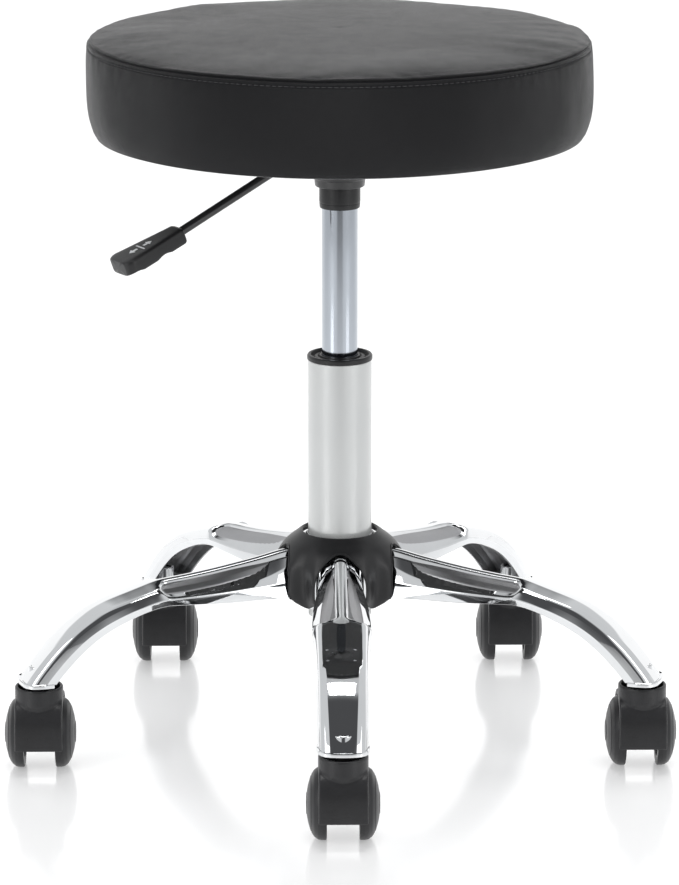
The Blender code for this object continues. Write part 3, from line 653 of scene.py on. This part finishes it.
# ---- arms ----
# Each station: distance and height of the ridge, of the open lower edge, then the half-widths of the
# deck, upper wall, crease and lower edge, the upper wall's share of the depth, and how much of the
# narrow rib stands on the ridge there.
ARM_STATIONS = [
    (0.0292, 0.1618, 0.0292, 0.1265, 0.005, 0.0112, 0.016, 0.0182, 0.32, 1.0),
    (0.047, 0.1608, 0.047, 0.1266, 0.005, 0.012, 0.0172, 0.0194, 0.34, 1.0),
    (0.07, 0.1562, 0.07, 0.1273, 0.006, 0.015, 0.0194, 0.0206, 0.48, 1.0),
    (0.1, 0.1512, 0.1, 0.128, 0.007, 0.0186, 0.0217, 0.0224, 0.54, 1.0),
    (0.125, 0.1478, 0.124, 0.1292, 0.008, 0.02, 0.0226, 0.0228, 0.58, 1.0),
    (0.146, 0.1456, 0.142, 0.13, 0.01, 0.0203, 0.0228, 0.0226, 0.58, 1.0),
    (0.154, 0.1438, 0.148, 0.1299, 0.0118, 0.0198, 0.0227, 0.0224, 0.31, 0.0),
    (0.163, 0.141, 0.1555, 0.1288, 0.013, 0.0197, 0.0224, 0.0221, 0.3, 0.0),
    (0.173, 0.1379, 0.163, 0.1268, 0.0134, 0.0196, 0.0221, 0.0218, 0.3, 0.0),
    (0.183, 0.1348, 0.1712, 0.124, 0.0134, 0.0194, 0.0215, 0.0214, 0.3, 0.0),
    (0.194, 0.131, 0.18, 0.1203, 0.0134, 0.0192, 0.021, 0.021, 0.3, 0.0),
    (0.205, 0.126, 0.1887, 0.1163, 0.0132, 0.019, 0.0206, 0.0206, 0.3, 0.0),
    (0.215, 0.1201, 0.197, 0.1118, 0.0128, 0.0187, 0.0203, 0.0203, 0.3, 0.0),
    (0.225, 0.113, 0.2048, 0.1068, 0.0124, 0.0185, 0.02, 0.02, 0.3, 0.0),
    (0.233, 0.1061, 0.212, 0.1012, 0.012, 0.0184, 0.0198, 0.0198, 0.3, 0.0),
    (0.241, 0.0982, 0.219, 0.095, 0.0116, 0.0182, 0.0196, 0.0196, 0.3, 0.0),
    (0.248, 0.0902, 0.2255, 0.0885, 0.0112, 0.018, 0.0194, 0.0194, 0.3, 0.0),
    (0.257, 0.0788, 0.2345, 0.0785, 0.0106, 0.0176, 0.0191, 0.0191, 0.3, 0.0),
    (0.262, 0.071, 0.24, 0.071, 0.01, 0.0175, 0.019, 0.019, 0.3, 0.0),
]
ARM_ROWS = 110
ARM_WALL = 0.0022
SOCKET_TOP = 0.085
DECK_CROWN = 0.0009  # how much the deck's middle stands above its sides
# Half of the rib's section where it stands full: (half-width, depth, rounding).
RIB = ((0.0014, 0.00005, 0.0), (0.0028, 0.0003, 0.0), (0.0048, 0.0011, 0.0016), (0.0062, 0.0046, 0.0011),
       (0.0072, 0.0054, 0.0012))
# (rise, swell) of the rolled lip round the tip.
LIP_STATIONS = ((0.0036, 0.0), (0.0033, 0.0006), (0.0018, 0.0009), (0.0004, 0.0007), (0.0, 0.0))


def mix(a, b, share):
    return a + (b - a) * share


def half_section(station, rib):
    """One side of an arm's outer skin from the ridge to the lower edge, as (half-width, depth)."""
    ridge_r, ridge_z, edge_r, edge_z, deck, upper, crease, lower, share = station[:9]
    depth = math.hypot(edge_r - ridge_r, edge_z - ridge_z)
    plain = [(deck * 0.3, DECK_CROWN * 0.09, 0.0), (deck * 0.6, DECK_CROWN * 0.36, 0.0),
             (deck * 0.95, DECK_CROWN * 0.9, 0.003), (mix(deck, upper, 0.4), 0.3 * share * depth, 0.005),
             (mix(deck, upper, 0.75), 0.6 * share * depth, 0.006)]
    crown = [tuple(mix(a, b, rib) for a, b in zip(*pair)) for pair in zip(plain, RIB)]
    return softened([(0.0, 0.0, 0.0), *crown, (upper, share * depth, 0.009),
                     (crease, 0.66 * depth, 0.003), (lower, depth, 0.0)], 5)


def offset_line(points, distance):
    """A line moved sideways by a distance, to the side of its own centre."""
    last = len(points) - 1
    moved_points = []
    for i, point in enumerate(points):
        before = after = i
        while before > 0 and (points[before] - point).length < 0.0004:
            before -= 1
        while after < last and (points[after] - point).length < 0.0004:
            after += 1
        along = (points[after] - points[before]).normalized()
        moved_points.append(point + Vector((-along.y, along.x)) * distance)
    return moved_points


def arm_mesh():
    work = bmesh.new()
    stations = spline(ARM_STATIONS, ARM_ROWS)
    tip = stations[-1]
    rows = []
    built = [(s, 0.0, 0.0) for s in stations[:-3]] + [(tip, rise, swell) for rise, swell in LIP_STATIONS]
    for station, rise, swell in built:
        half = half_section(station, min(max(station[9], 0.0), 1.0))
        lined = half_section(station, 0.0)
        ridge = Vector((station[0], station[1]))
        down = (Vector((station[2], station[3])) - ridge).normalized()
        outer, inner = ([Vector((-w, d)) for w, d in reversed(side[1:])] + list(side)
                        for side in (half, lined))
        inner = offset_line(inner, ARM_WALL)
        if swell:
            outer = offset_line(outer, -swell)
        brim = [Vector((x, outer[-1].y + 0.0005)) for x in (outer[-1].x - 0.0006, inner[-1].x + 0.0006)]
        other = [Vector((-p.x, p.y)) for p in reversed(brim)]
        loop = outer + brim + list(reversed(inner)) + other
        row = []
        for width, deep in loop:
            spot = ridge + down * deep
            row.append(work.verts.new((spot.x, width, spot.y + rise)))
        rows.append(row)
    skin_rows(work, rows, closed=True)
    n = (len(rows[0]) - 4) // 2
    work.faces.ensure_lookup_table()
    for i, face in enumerate(work.faces):
        if i % len(rows[0]) > n:
            face.material_index = 1
    for row in (rows[0], rows[-1]):
        for i in range(n - 1):
            work.faces.new((row[i], row[i + 1], row[2 * n - i], row[2 * n + 1 - i]))
        work.faces.new(row[n - 1:n + 3])
        work.faces.new((row[2 * n + 1], row[2 * n + 2], row[2 * n + 3], row[0]))
    shell = to_mesh(work, "arm")
    plate_z = tip[1] + 0.0003
    socket = lathe(loop_softened([
        (0.0058, plate_z, 0.0003), (0.014, plate_z, 0.0008), (0.014, plate_z + 0.003, 0.0008),
        (0.009, plate_z + 0.003, 0.0015), (0.008, SOCKET_TOP, 0.0008), (0.0058, SOCKET_TOP, 0.0003)]), 40)
    socket.transform(Matrix.Translation((FEET[0] - AXIS).length * Vector((1, 0, 0))))
    return together([shell, socket], "arm_shell")


def arms():
    mesh = arm_mesh()
    for look in (LOOKS["chrome"], ARM_INSIDE):
        mesh.materials.append(look)
    for k, angle in enumerate(ARM_ANGLES):
        piece(f"arm_shell_{k + 1}", mesh, "base", "chrome", [f"arm_{k + 1}"], 40, at(AXIS, angle))


# ---- hub ----
# Height, radius midway between two arms, and radius beside an arm.
COVER_LEVELS = [
    (0.1726, 0.0292, 0.0292), (0.1734, 0.03, 0.03), (0.1731, 0.0315, 0.0315),
    (0.1695, 0.0362, 0.0362), (0.164, 0.0425, 0.0435), (0.1565, 0.0465, 0.0485),
    (0.149, 0.0478, 0.052), (0.137, 0.048, 0.0538), (0.127, 0.0468, 0.053),
    (0.118, 0.044, 0.0493),
]
COVER_RIM_RISE = 0.005
COVER_WALL = 0.0022
COVER_STEPS = 240
LIP_FROM = 0.126  # height where the rim's rise beside the arms starts
BEAD_END = 0.1245  # height where the bead round each opening stops
BEAD_RADIUS = 0.0007
ARCH_REACH = (0.034, 0.075)  # from and to the axis, where the openings are cut
ARCH_HALF = [(0.0205, 0.106), (0.0205, 0.126), (0.0205, 0.14), (0.0185, 0.148), (0.0145, 0.155),
             (0.009, 0.1605), (0.004, 0.1638), (0.0, 0.1645)]


def cover_swell(angle):
    off = abs((math.degrees(angle) + 90.0 + 36.0) % 72.0 - 36.0)
    share = min(max((36.0 - off) / 15.0, 0.0), 1.0)
    return share * share * (3 - 2 * share)


def cover_radius(angle, height):
    """Outer radius of the hub cover below its rim."""
    levels = COVER_LEVELS[2:]
    for above, below in zip(levels, levels[1:]):
        if height >= below[0]:
            share = (height - below[0]) / (above[0] - below[0])
            between, beside = (mix(below[i], above[i], share) for i in (1, 2))
            return mix(between, beside, cover_swell(angle))
    return mix(levels[-1][1], levels[-1][2], cover_swell(angle))


def hub_cover():
    work = bmesh.new()
    rows = []
    levels = spline(COVER_LEVELS, 46)
    for height, between, beside in levels:
        row = []
        for angle in turns(COVER_STEPS):
            swell = cover_swell(angle)
            radius = mix(between, beside, swell)
            low = max(0.0, (LIP_FROM - height) / 0.008)
            row.append(work.verts.new(polar(radius, angle, height + COVER_RIM_RISE * swell * low)))
        rows.append(row)
    skin_rows(work, rows, closed=True)
    item = scratch(to_mesh(work, "cover"))
    shell = item.modifiers.new("wall", "SOLIDIFY")
    shell.thickness = COVER_WALL
    shell.offset = -1.0
    shell.use_even_offset = True
    mesh = taken(item)
    curve = spline(ARCH_HALF, 30)
    outline = [(y, z) for y, z in curve] + [(-y, z) for y, z in reversed(curve[:-1])]
    arch = prism(outline, *ARCH_REACH)
    beads = []
    for angle in ARM_ANGLES:
        path = []
        for y, z in outline:
            if z < BEAD_END:
                continue
            x = 0.05
            for _ in range(6):
                x = math.sqrt(max(cover_radius(angle + math.atan2(y, x), z) ** 2 - y * y, 1e-6))
            path.append(Vector((x, y, z)))
        beads.append(moved(tube(path, BEAD_RADIUS, 8), Matrix.Rotation(angle, 4, "Z")))
    cuts = [moved(arch, Matrix.Rotation(angle, 4, "Z")) for angle in ARM_ANGLES]
    mesh = minus(mesh, cuts)
    piece("cover_shell", mesh, "base", "black_plastic", ["hub_cover"], 30, at(AXIS))
    piece("cover_lips", together(beads, "lips"), "base", "black_plastic", (), 60, at(AXIS))


def hub():
    low, high = heights("hub_sleeve")
    outline = [
        (0.0284, low, 0.0008), (0.0284, high - 0.0042, 0.0004), (0.0286, high - 0.0034, 0.0006),
        (0.0272, high - 0.0016, 0.0004), (0.0268, high - 0.0018, 0.0003), (0.0258, high, 0.0006),
        (0.0253, high - 0.0006, 0.0003), (0.0253, low, 0.0008)]
    turned("hub_ring", outline, "base", "chrome", "hub_sleeve", 50)
    hub_cover()


# ---- casters ----
HOOD_HALF = 0.0185
HOOD_INSIDE = 0.0288  # radius inside the hood
HOOD_VOXEL = 0.00075
WEB_HALF = 0.0117
BORE_RADIUS, BORE_FLOOR = 0.0058, 0.0457
CUP_RADIUS = 0.01875
CUP_TOP = heights("caster_hood_1")[1]
CUP_FLOOR = CUP_TOP - 0.0085
STEM_TOP = heights("caster_stem_1")[1]
HOOD_CURVE = [(-0.033, -0.006), (-0.033, 0.004), (-0.0318, 0.015), (-0.0286, 0.0225),
              (-0.0235, 0.0283), (-0.016, 0.0312), (0.0, 0.032), (0.0111, 0.0305),
              (0.0205, 0.0252), (0.0276, 0.0172)]
WHEEL_SHAPE = [
    (0.0, 0.0277, 0.0), (0.008, 0.02755, 0.0006), (0.0084, 0.0269, 0.0003), (0.009, 0.0271, 0.0004),
    (0.014, 0.0262, 0.006), (0.0205, 0.0243, 0.002), (0.0209, 0.0236, 0.0003), (0.0216, 0.0237, 0.0004),
    (0.025, 0.0216, 0.004), (0.027, 0.0188, 0.003), (0.0275, 0.0162, 0.0015), (0.0275, 0.0128, 0.0005),
    (0.0268, 0.01225, 0.0004), (0.0205, 0.01225, 0.0005), (0.02, 0.015, 0.0006), (0.0072, 0.015, 0.0006),
    (0.0068, 0.01225, 0.0004), (0.0033, 0.01225, 0.0002), (0.0033, 0.0215, 0.0002), (0.0, 0.0215, 0.0)]


def hood_mesh():
    """Caster frame: origin on the floor under the pintle, the axle along X behind it."""
    outer = spline(HOOD_CURVE, 44)
    inner = []
    for y, z in outer:
        far = math.hypot(y, z)
        inner.append((y * HOOD_INSIDE / far, z * HOOD_INSIDE / far))
    shift = Matrix.Translation((0, AXLE_OFFSET, AXLE_Z))
    canopy = moved(prism(outer + inner[::-1], -HOOD_HALF, HOOD_HALF), shift)
    under = [(0.0245, 0.0155), (0.012, -0.004), (0.005, -0.0105), (-0.006, -0.0105), (-0.015, -0.006)]
    web = moved(prism(outer + under, -WEB_HALF, WEB_HALF), shift)
    cup = lathe(softened([
        (0.0, 0.05, 0.0), (0.0165, 0.05, 0.002), (CUP_RADIUS, 0.056, 0.0015),
        (CUP_RADIUS, CUP_TOP, 0.0006), (CUP_RADIUS - 0.0024, CUP_TOP, 0.0006),
        (CUP_RADIUS - 0.0028, CUP_FLOOR, 0.0008), (0.0, CUP_FLOOR, 0.0)]), 80, closed=False)
    hood = fused([canopy, web, cup], HOOD_VOXEL, 2, "hood")
    recess = lathe(softened([(0.0, CUP_TOP + 0.004, 0.0), (CUP_RADIUS - 0.0028, CUP_TOP + 0.004, 0.0),
                             (CUP_RADIUS - 0.0028, CUP_FLOOR, 0.0), (0.0, CUP_FLOOR, 0.0)], 1),
                   64, closed=False)
    top = CUP_FLOOR + 0.005
    bore = lathe([(0.0, top), (BORE_RADIUS, top), (BORE_RADIUS, BORE_FLOOR), (0.0, BORE_FLOOR)], 32,
                 closed=False)
    return minus(hood, [recess, bore])


def stem_mesh():
    shoulder = CUP_TOP + 0.0009
    return lathe(softened([
        (0.0, STEM_TOP, 0.0), (0.0048, STEM_TOP, 0.0006), (0.0055, STEM_TOP - 0.0015, 0.0004),
        (0.0055, STEM_TOP - 0.0038, 0.0003), (0.005, STEM_TOP - 0.0042, 0.0003),
        (0.005, STEM_TOP - 0.0056, 0.0003), (0.0055, STEM_TOP - 0.006, 0.0003),
        (0.0055, shoulder, 0.0003), (0.008, shoulder, 0.0004), (0.008, shoulder - 0.002, 0.0004),
        (0.0055, shoulder - 0.002, 0.0003), (0.0055, 0.046, 0.0006), (0.0, 0.046, 0.0)]), 40, closed=False)


def casters():
    hood, stem = hood_mesh(), stem_mesh()
    wheel = moved(lathe(softened(WHEEL_SHAPE), 96, closed=False), Matrix.Rotation(math.pi / 2, 4, "Y"))
    for k in range(ARM_COUNT):
        n = k + 1
        piece(f"hood_shell_{n}", hood, f"caster_{n}", "black_plastic", [f"caster_hood_{n}"], 50,
              at(FEET[k]), CASTER_PLASTIC)
        piece(f"stem_{n}", stem, "base", "plain_steel", [f"caster_stem_{n}"], 40, at(FEET[k]))
        centre = FEET[k] + Vector((0, AXLE_OFFSET, AXLE_Z))
        for side, turn in (("right", 0.0), ("left", math.pi)):
            piece(f"tyre_{side}_{n}", wheel, f"{side}_wheel_{n}", "wheel_nylon", [f"wheel_{side}_{n}"], 40,
                  at(centre, turn))


# ---- seat cushion ----
SEAT_LOW = heights("cover_band")[0]
SEAT_RADIUS = 0.195
SEAT_ROUND = 512  # steps round the cushion
# From the middle of the underside, out round the board's edge, up the side and over to the top.
SEAT_CURVE = [
    (0.0, SEAT_LOW + 0.0011), (0.08, SEAT_LOW + 0.0011), (0.15, SEAT_LOW + 0.0011),
    (0.177, SEAT_LOW + 0.0011), (0.18, SEAT_LOW + 0.0004), (0.1845, SEAT_LOW + 0.0002),
    (0.1876, 0.4906), (0.1903, 0.4945), (0.1927, 0.502), (0.1943, 0.511), (0.195, 0.521),
    (0.1952, 0.534), (0.195, 0.548), (0.1944, 0.556), (0.1933, 0.5613),
]
CROWN_CURVE = [
    (0.1921, 0.5639), (0.1903, 0.565), (0.187, 0.566), (0.182, 0.567), (0.175, 0.568),
    (0.165, 0.569), (0.15, 0.57), (0.125, 0.5708), (0.09, 0.5712), (0.045, 0.5714),
    (0.0, 0.5714),
]
SEAM_Z = 0.5633
STITCH_DROP = 0.0044  # from the seam down to the row of topstitching
STITCH_PITCH = 0.0046
STAPLE_COUNT = 40
STAPLE_RING = 0.1725
SEAM_DEPTH, SEAM_WIDTH = 0.0014, 0.0008
PROBE = 0.014  # how far inside the outline a ray starts
PROBE_ROUND = 128  # rays round the cushion
SWELL_FROM = 0.492  # below this height the cushion is tight over its board
SIM_INSET = 0.003  # how much smaller the form is before it is inflated
SIM_CAP = 0.006  # the furthest that a point may move
SIM_VOXEL = 0.005
SIM_FRAMES = 20
CLOTH_SETTINGS = {"quality": 6, "mass": 0.35, "tension_stiffness": 22.0, "compression_stiffness": 22.0,
                  "shear_stiffness": 12.0, "bending_stiffness": 2.0, "use_pressure": True,
                  "uniform_pressure_force": 4.0, "vertex_group_mass": "held"}


def walk(points, spacing):
    """Points along a line, with their lengths from its start. spacing gives the step at a length."""
    lengths = [0.0]
    for a, b in zip(points, points[1:]):
        lengths.append(lengths[-1] + (b - a).length)
    spots, s, j = [], 0.0, 0
    while s < lengths[-1]:
        while lengths[j + 1] < s:
            j += 1
        t = (s - lengths[j]) / (lengths[j + 1] - lengths[j])
        spots.append((s, points[j].lerp(points[j + 1], t)))
        s += spacing(s)
    spots.append((lengths[-1], points[-1]))
    return spots


def seat_outline():
    """Rows of (length from the seam, point, outward normal), dense near the seam."""
    fine = [Vector(p) for p in spline(SEAT_CURVE + CROWN_CURVE, 1500)]
    seam = min(range(len(fine)), key=lambda i: abs(fine[i].y - SEAM_Z) + (fine[i].x < 0.18))
    reach = sum((b - a).length for a, b in zip(fine[:seam], fine[1:seam + 1]))

    def spacing(s):
        return min(0.00045 + 0.055 * max(abs(s - reach + 0.003) - 0.008, 0.0), 0.0075)

    spots = walk(fine, spacing)
    rows = []
    for i, (s, point) in enumerate(spots):
        before, after = spots[max(i - 1, 0)][1], spots[min(i + 1, len(spots) - 1)][1]
        along = (after - before).normalized()
        normal = Vector((along.y, -along.x))
        if point.x < 1e-6:
            normal = Vector((0.0, math.copysign(1.0, normal.y)))
        rows.append((s - reach, point, normal))
    return rows


def blown(rows):
    """The padded form: a slightly smaller cushion, inflated as cloth held at its seam and board."""
    small = [(max(point.x - normal.x * SIM_INSET, 0.0), point.y - normal.y * SIM_INSET * 0.8)
             for _, point, normal in rows[::3]]
    small[0], small[-1] = (0.0, small[0][1]), (0.0, small[-1][1])
    work = bmesh.new()
    work.from_mesh(lathe(small, 160, closed=False))
    for vert in work.verts:
        ripple = noise.noise(Vector(vert.co) * 17.0) * 0.0016
        vert.co += Vector((vert.co.x, vert.co.y, 0.0)).normalized() * ripple
        if vert.co.z > SEAM_Z - 0.009:
            vert.co.z += noise.noise(Vector(vert.co) * 13.0 + Vector((9, 2, 5))) * 0.0014
    mesh = voxelled(to_mesh(work, "blown"), SIM_VOXEL)
    item = scratch(mesh, "cushion_cloth")
    held = item.vertex_groups.new(name="held")
    start = [v.co.copy() for v in mesh.vertices]
    for i, co in enumerate(start):
        radius = math.hypot(co.x, co.y)
        at_board = co.z < SEAT_LOW + 0.01
        at_seam = abs(co.z - SEAM_Z + 0.003) < 0.0035 and radius > SEAT_RADIUS - 0.017
        held.add([i], 1.0 if at_board else 0.85 if at_seam else 0.0, "REPLACE")
    cloth = item.modifiers.new("cloth", "CLOTH")
    for key, value in CLOTH_SETTINGS.items():
        setattr(cloth.settings, key, value)
    cloth.settings.effector_weights.gravity = 0.0
    cloth.point_cache.frame_start = 1
    cloth.point_cache.frame_end = SIM_FRAMES
    scene = bpy.context.scene
    for moment in range(1, SIM_FRAMES + 1):
        scene.frame_set(moment)
    shown = item.evaluated_get(bpy.context.evaluated_depsgraph_get())
    ended = [v.co.copy() for v in shown.data.vertices]
    item.modifiers.remove(cloth)
    for vert, a, b in zip(item.data.vertices, start, ended):
        shift = b - a
        if shift.length > SIM_CAP:
            shift *= SIM_CAP / shift.length
        vert.co = a + shift
    scene.frame_set(1)
    fine = item.modifiers.new("fine", "SUBSURF")
    fine.levels = 1
    fine.render_levels = 1
    result = taken(item)
    return BVHTree.FromPolygons([v.co for v in result.vertices], [p.vertices for p in result.polygons])


def swelling(tree, rows):
    """How far the inflated form stands from the outline at each row and step round, smoothed."""
    table = []
    for _, point, normal in rows:
        line = []
        for a in turns(PROBE_ROUND):
            out = polar(normal.x, a, normal.y)
            base = polar(point.x, a, point.y) - out * PROBE
            distance = tree.ray_cast(base, out, PROBE * 2)[3]
            line.append(-0.001 if distance is None else distance - PROBE)
        table.append(line)
    return table


def pulse(x, width):
    return math.exp(-(x / width) ** 2)


def cushion():
    rows = seat_outline()
    table = None
    table = swelling(blown(rows), rows)
    work = bmesh.new()
    grid = []
    for index, (s, point, normal) in enumerate(rows):
        if point.x < 1e-6:
            grid.append([work.verts.new((0.0, 0.0, point.y))] * SEAT_ROUND)
            continue
        row = []
        for i, a in enumerate(turns(SEAT_ROUND)):
            rise = 0.0
            if table and point.y > SWELL_FROM:
                line = table[index]
                place = i / SEAT_ROUND * len(line)
                j = int(place)
                rise = mix(line[j % len(line)], line[(j + 1) % len(line)], place - j)
                mean = sum(line) / len(line)
                rise = rise - mean + min(max(mean, -0.0004), 0.0006)
            arc_length = a * SEAT_RADIUS
            pucker = noise.noise(polar(24.0, a, 3.0))
            tight = noise.noise(polar(7.0, a, 8.0))
            rise -= SEAM_DEPTH * pulse(s, SEAM_WIDTH)
            rise += 0.0004 * (pulse(s - 0.0026, 0.0018) + pulse(s + 0.0022, 0.0014))
            rise -= (0.0006 + 0.0003 * math.cos(arc_length / STITCH_PITCH * math.tau)) * pulse(
                s + STITCH_DROP, 0.0009)
            rise += 0.00035 * pucker * pulse(s + STITCH_DROP + 0.004, 0.007)
            rise += 0.0003 * pucker * pulse(s - 0.006, 0.006)
            rise += 0.0008 * tight * pulse(s - 0.03, 0.028) + 0.0006 * tight * pulse(s + 0.035, 0.02)
            row.append(work.verts.new(polar(point.x + normal.x * rise, a, point.y + normal.y * rise)))
        grid.append(row)
    skin_rows(work, grid, closed=True)
    stitch_row = min(range(len(rows)), key=lambda i: abs(rows[i][0] + STITCH_DROP))
    track = [v.co.copy() for v in grid[stitch_row]]
    outward = rows[stitch_row][2]
    pad = piece("seat_cushion", to_mesh(work, "cushion"), "seat", "black_vinyl",
                ["foam_pad", "cover_band", "cover_top"], None, at(AXIS))
    stitches(track, outward)


def stitches(track, outward):
    """One row of thread in the topstitching's groove."""
    count = round(math.tau * SEAT_RADIUS / STITCH_PITCH)
    threads = []
    for k in range(count):
        points = []
        for share, dip in ((0.1, -0.0006), (0.22, 0.0002), (0.5, 0.0005), (0.78, 0.0002), (0.9, -0.0006)):
            place = (k + share) / count * len(track)
            j = int(place)
            co = track[j % len(track)].lerp(track[(j + 1) % len(track)], place - j)
            a = math.atan2(co.y, co.x)
            points.append(co + polar(outward.x, a, outward.y) * dip)
        threads.append(tube(points, [0.00022, 0.00034, 0.00036, 0.00034, 0.00022], 6))
    piece("seat_stitching", together(threads, "stitches"), "seat", "black_vinyl", (), None, at(AXIS), THREAD)


def staples():
    """Staples that hold the cover and the dust cloth to the board."""
    bar = tube([(-0.005, 0, 0.0006), (-0.0048, 0, -0.0003), (0.0048, 0, -0.0003), (0.005, 0, 0.0006)],
               0.0004, 6)
    made = []
    for a in turns(STAPLE_COUNT):
        turn = a + math.pi / 2 + random.uniform(-0.15, 0.15)
        made.append(moved(bar, at(polar(STAPLE_RING, a, SEAT_LOW - 0.0001), turn)))
    piece("seat_staples", together(made, "staples"), "seat", "plain_steel", (), 50, at(AXIS))


# ---- studio ----
FLOOR_REACH = 30.0


def studio():
    scene = bpy.context.scene
    world = bpy.data.worlds.new("studio")
    scene.world = world
    graph = Graph(world)

    def ranged(value, low, high):
        return graph.node("MapRange", {"Value": value, "From Min": low, "From Max": high},
                          interpolation_type="SMOOTHSTEP").outputs["Result"]

    def times(a, b):
        return graph.node("Math", {0: a, 1: b}, operation="MULTIPLY").outputs[0]

    def one_minus(a):
        return graph.node("Math", {0: 1.0, 1: a}, operation="SUBTRACT").outputs[0]

    def painted(mask, below, *colour):
        inputs = {0: mask, 6: below, 7: (*colour, 1.0)}
        return graph.node("Mix", inputs, data_type="RGBA").outputs[2]

    around = graph.node("TexCoord").outputs["Generated"]
    x, y, z = graph.node("SeparateXYZ", {0: around}).outputs
    wide = graph.node("Math", {0: x}, operation="ABSOLUTE").outputs[0]
    aside = ranged(wide, 0.18, 0.32)
    colour = painted(aside, (0.6, 0.61, 0.62, 1.0), 0.76, 0.77, 0.78)
    # The dark strip behind the stool, which the decks of the arms mirror.
    strip = times(ranged(z, 0.35, 0.39), one_minus(ranged(z, 0.66, 0.8)))
    strip = times(times(ranged(y, 0.2, 0.45), strip), one_minus(aside))
    colour = painted(strip, colour, 0.022, 0.023, 0.025)
    # The bright wall below it, and the dim room on the viewer's side.
    low_back = times(ranged(y, 0.2, 0.6), one_minus(ranged(z, 0.35, 0.39)))
    colour = painted(low_back, colour, 1.25, 1.25, 1.25)
    room = times(one_minus(ranged(wide, 0.2, 0.42)), ranged(y, -0.1, -0.24))
    colour = painted(room, colour, 0.085, 0.086, 0.09)
    back = graph.tree.nodes["Background"]
    graph.tree.links.new(colour, back.inputs["Color"])
    back.inputs["Strength"].default_value = 1.0

    def softbox(name, spot, aim, width, height, watts):
        lamp = bpy.data.lights.new(name, "AREA")
        lamp.shape = "RECTANGLE"
        lamp.size, lamp.size_y = width, height
        lamp.energy = watts
        item = scratch(lamp, name)
        item.location = spot
        item.rotation_euler = (Vector(aim) - Vector(spot)).to_track_quat("-Z", "Y").to_euler()
        item.visible_camera = False
        return item

    softbox("overhead", (0.0, -0.4, 2.6), (0.0, 0.0, 0.3), 0.8, 0.5, 11.0)
    softbox("top_back", (0.2, 0.75, 2.3), (0.0, 0.0, 0.5), 1.6, 0.8, 14.0)
    glow = softbox("seat_glow", (0.6, 1.45, 1.95), (0.05, -0.1, 0.57), 0.8, 0.5, 4.5)
    lit = bpy.data.collections.new("lit_by_seat_glow")
    lit.objects.link(bpy.data.objects["seat_cushion"])
    glow.light_linking.receiver_collection = lit
    softbox("left_box", (-2.1, -1.7, 1.3), (0.0, 0.0, 0.3), 1.1, 2.0, 22.0)
    softbox("right_box", (2.1, -1.7, 1.3), (0.0, 0.0, 0.3), 1.1, 2.0, 16.0)

    work = bmesh.new()
    bmesh.ops.create_grid(work, x_segments=1, y_segments=1, size=FLOOR_REACH)
    floor = scratch(to_mesh(work, "floor"), "floor")
    look = Look("floor", Base_Color=(0.86, 0.86, 0.86), Coat_Weight=1.0, Coat_IOR=2.1, Coat_Roughness=0.13)
    look.link("Roughness", look.ranged(look.noise(3.0, 3.0), 0.3, 0.7, 0.45, 0.55))
    look.set(Emission_Color=(1.0, 1.0, 1.0), Emission_Strength=0.42)
    floor.data.materials.append(look.material)
    scene.view_settings.view_transform = "Standard"
    scene.view_settings.look = "None"
    scene.cycles.use_denoising = True


CAMERA_AWAY = 3.2677  # from the column, along the floor
CAMERA_HEIGHT = 1.0912
CAMERA_PITCH = 0.25382  # downwards
CAMERA_TURN = math.radians(0.6)
CAMERA_LENS = 174.738  # millimetres, on a sensor 36 mm high
CAMERA_SHIFT = -0.000339


def camera():
    data = bpy.data.cameras.new("camera")
    item = scratch(data, "camera")
    data.sensor_fit = "VERTICAL"
    data.sensor_height = 36.0
    data.lens = CAMERA_LENS
    data.shift_x = CAMERA_SHIFT
    item.location = (-CAMERA_AWAY * math.sin(CAMERA_TURN), AXIS.y - CAMERA_AWAY * math.cos(CAMERA_TURN),
                     CAMERA_HEIGHT)
    item.rotation_euler = (math.pi / 2 - CAMERA_PITCH, 0.0, -CAMERA_TURN)
    bpy.context.scene.camera = item


gas_lift()
seat_bell()
lever()
arms()
hub()
casters()
cushion()
staples()
studio()
camera()
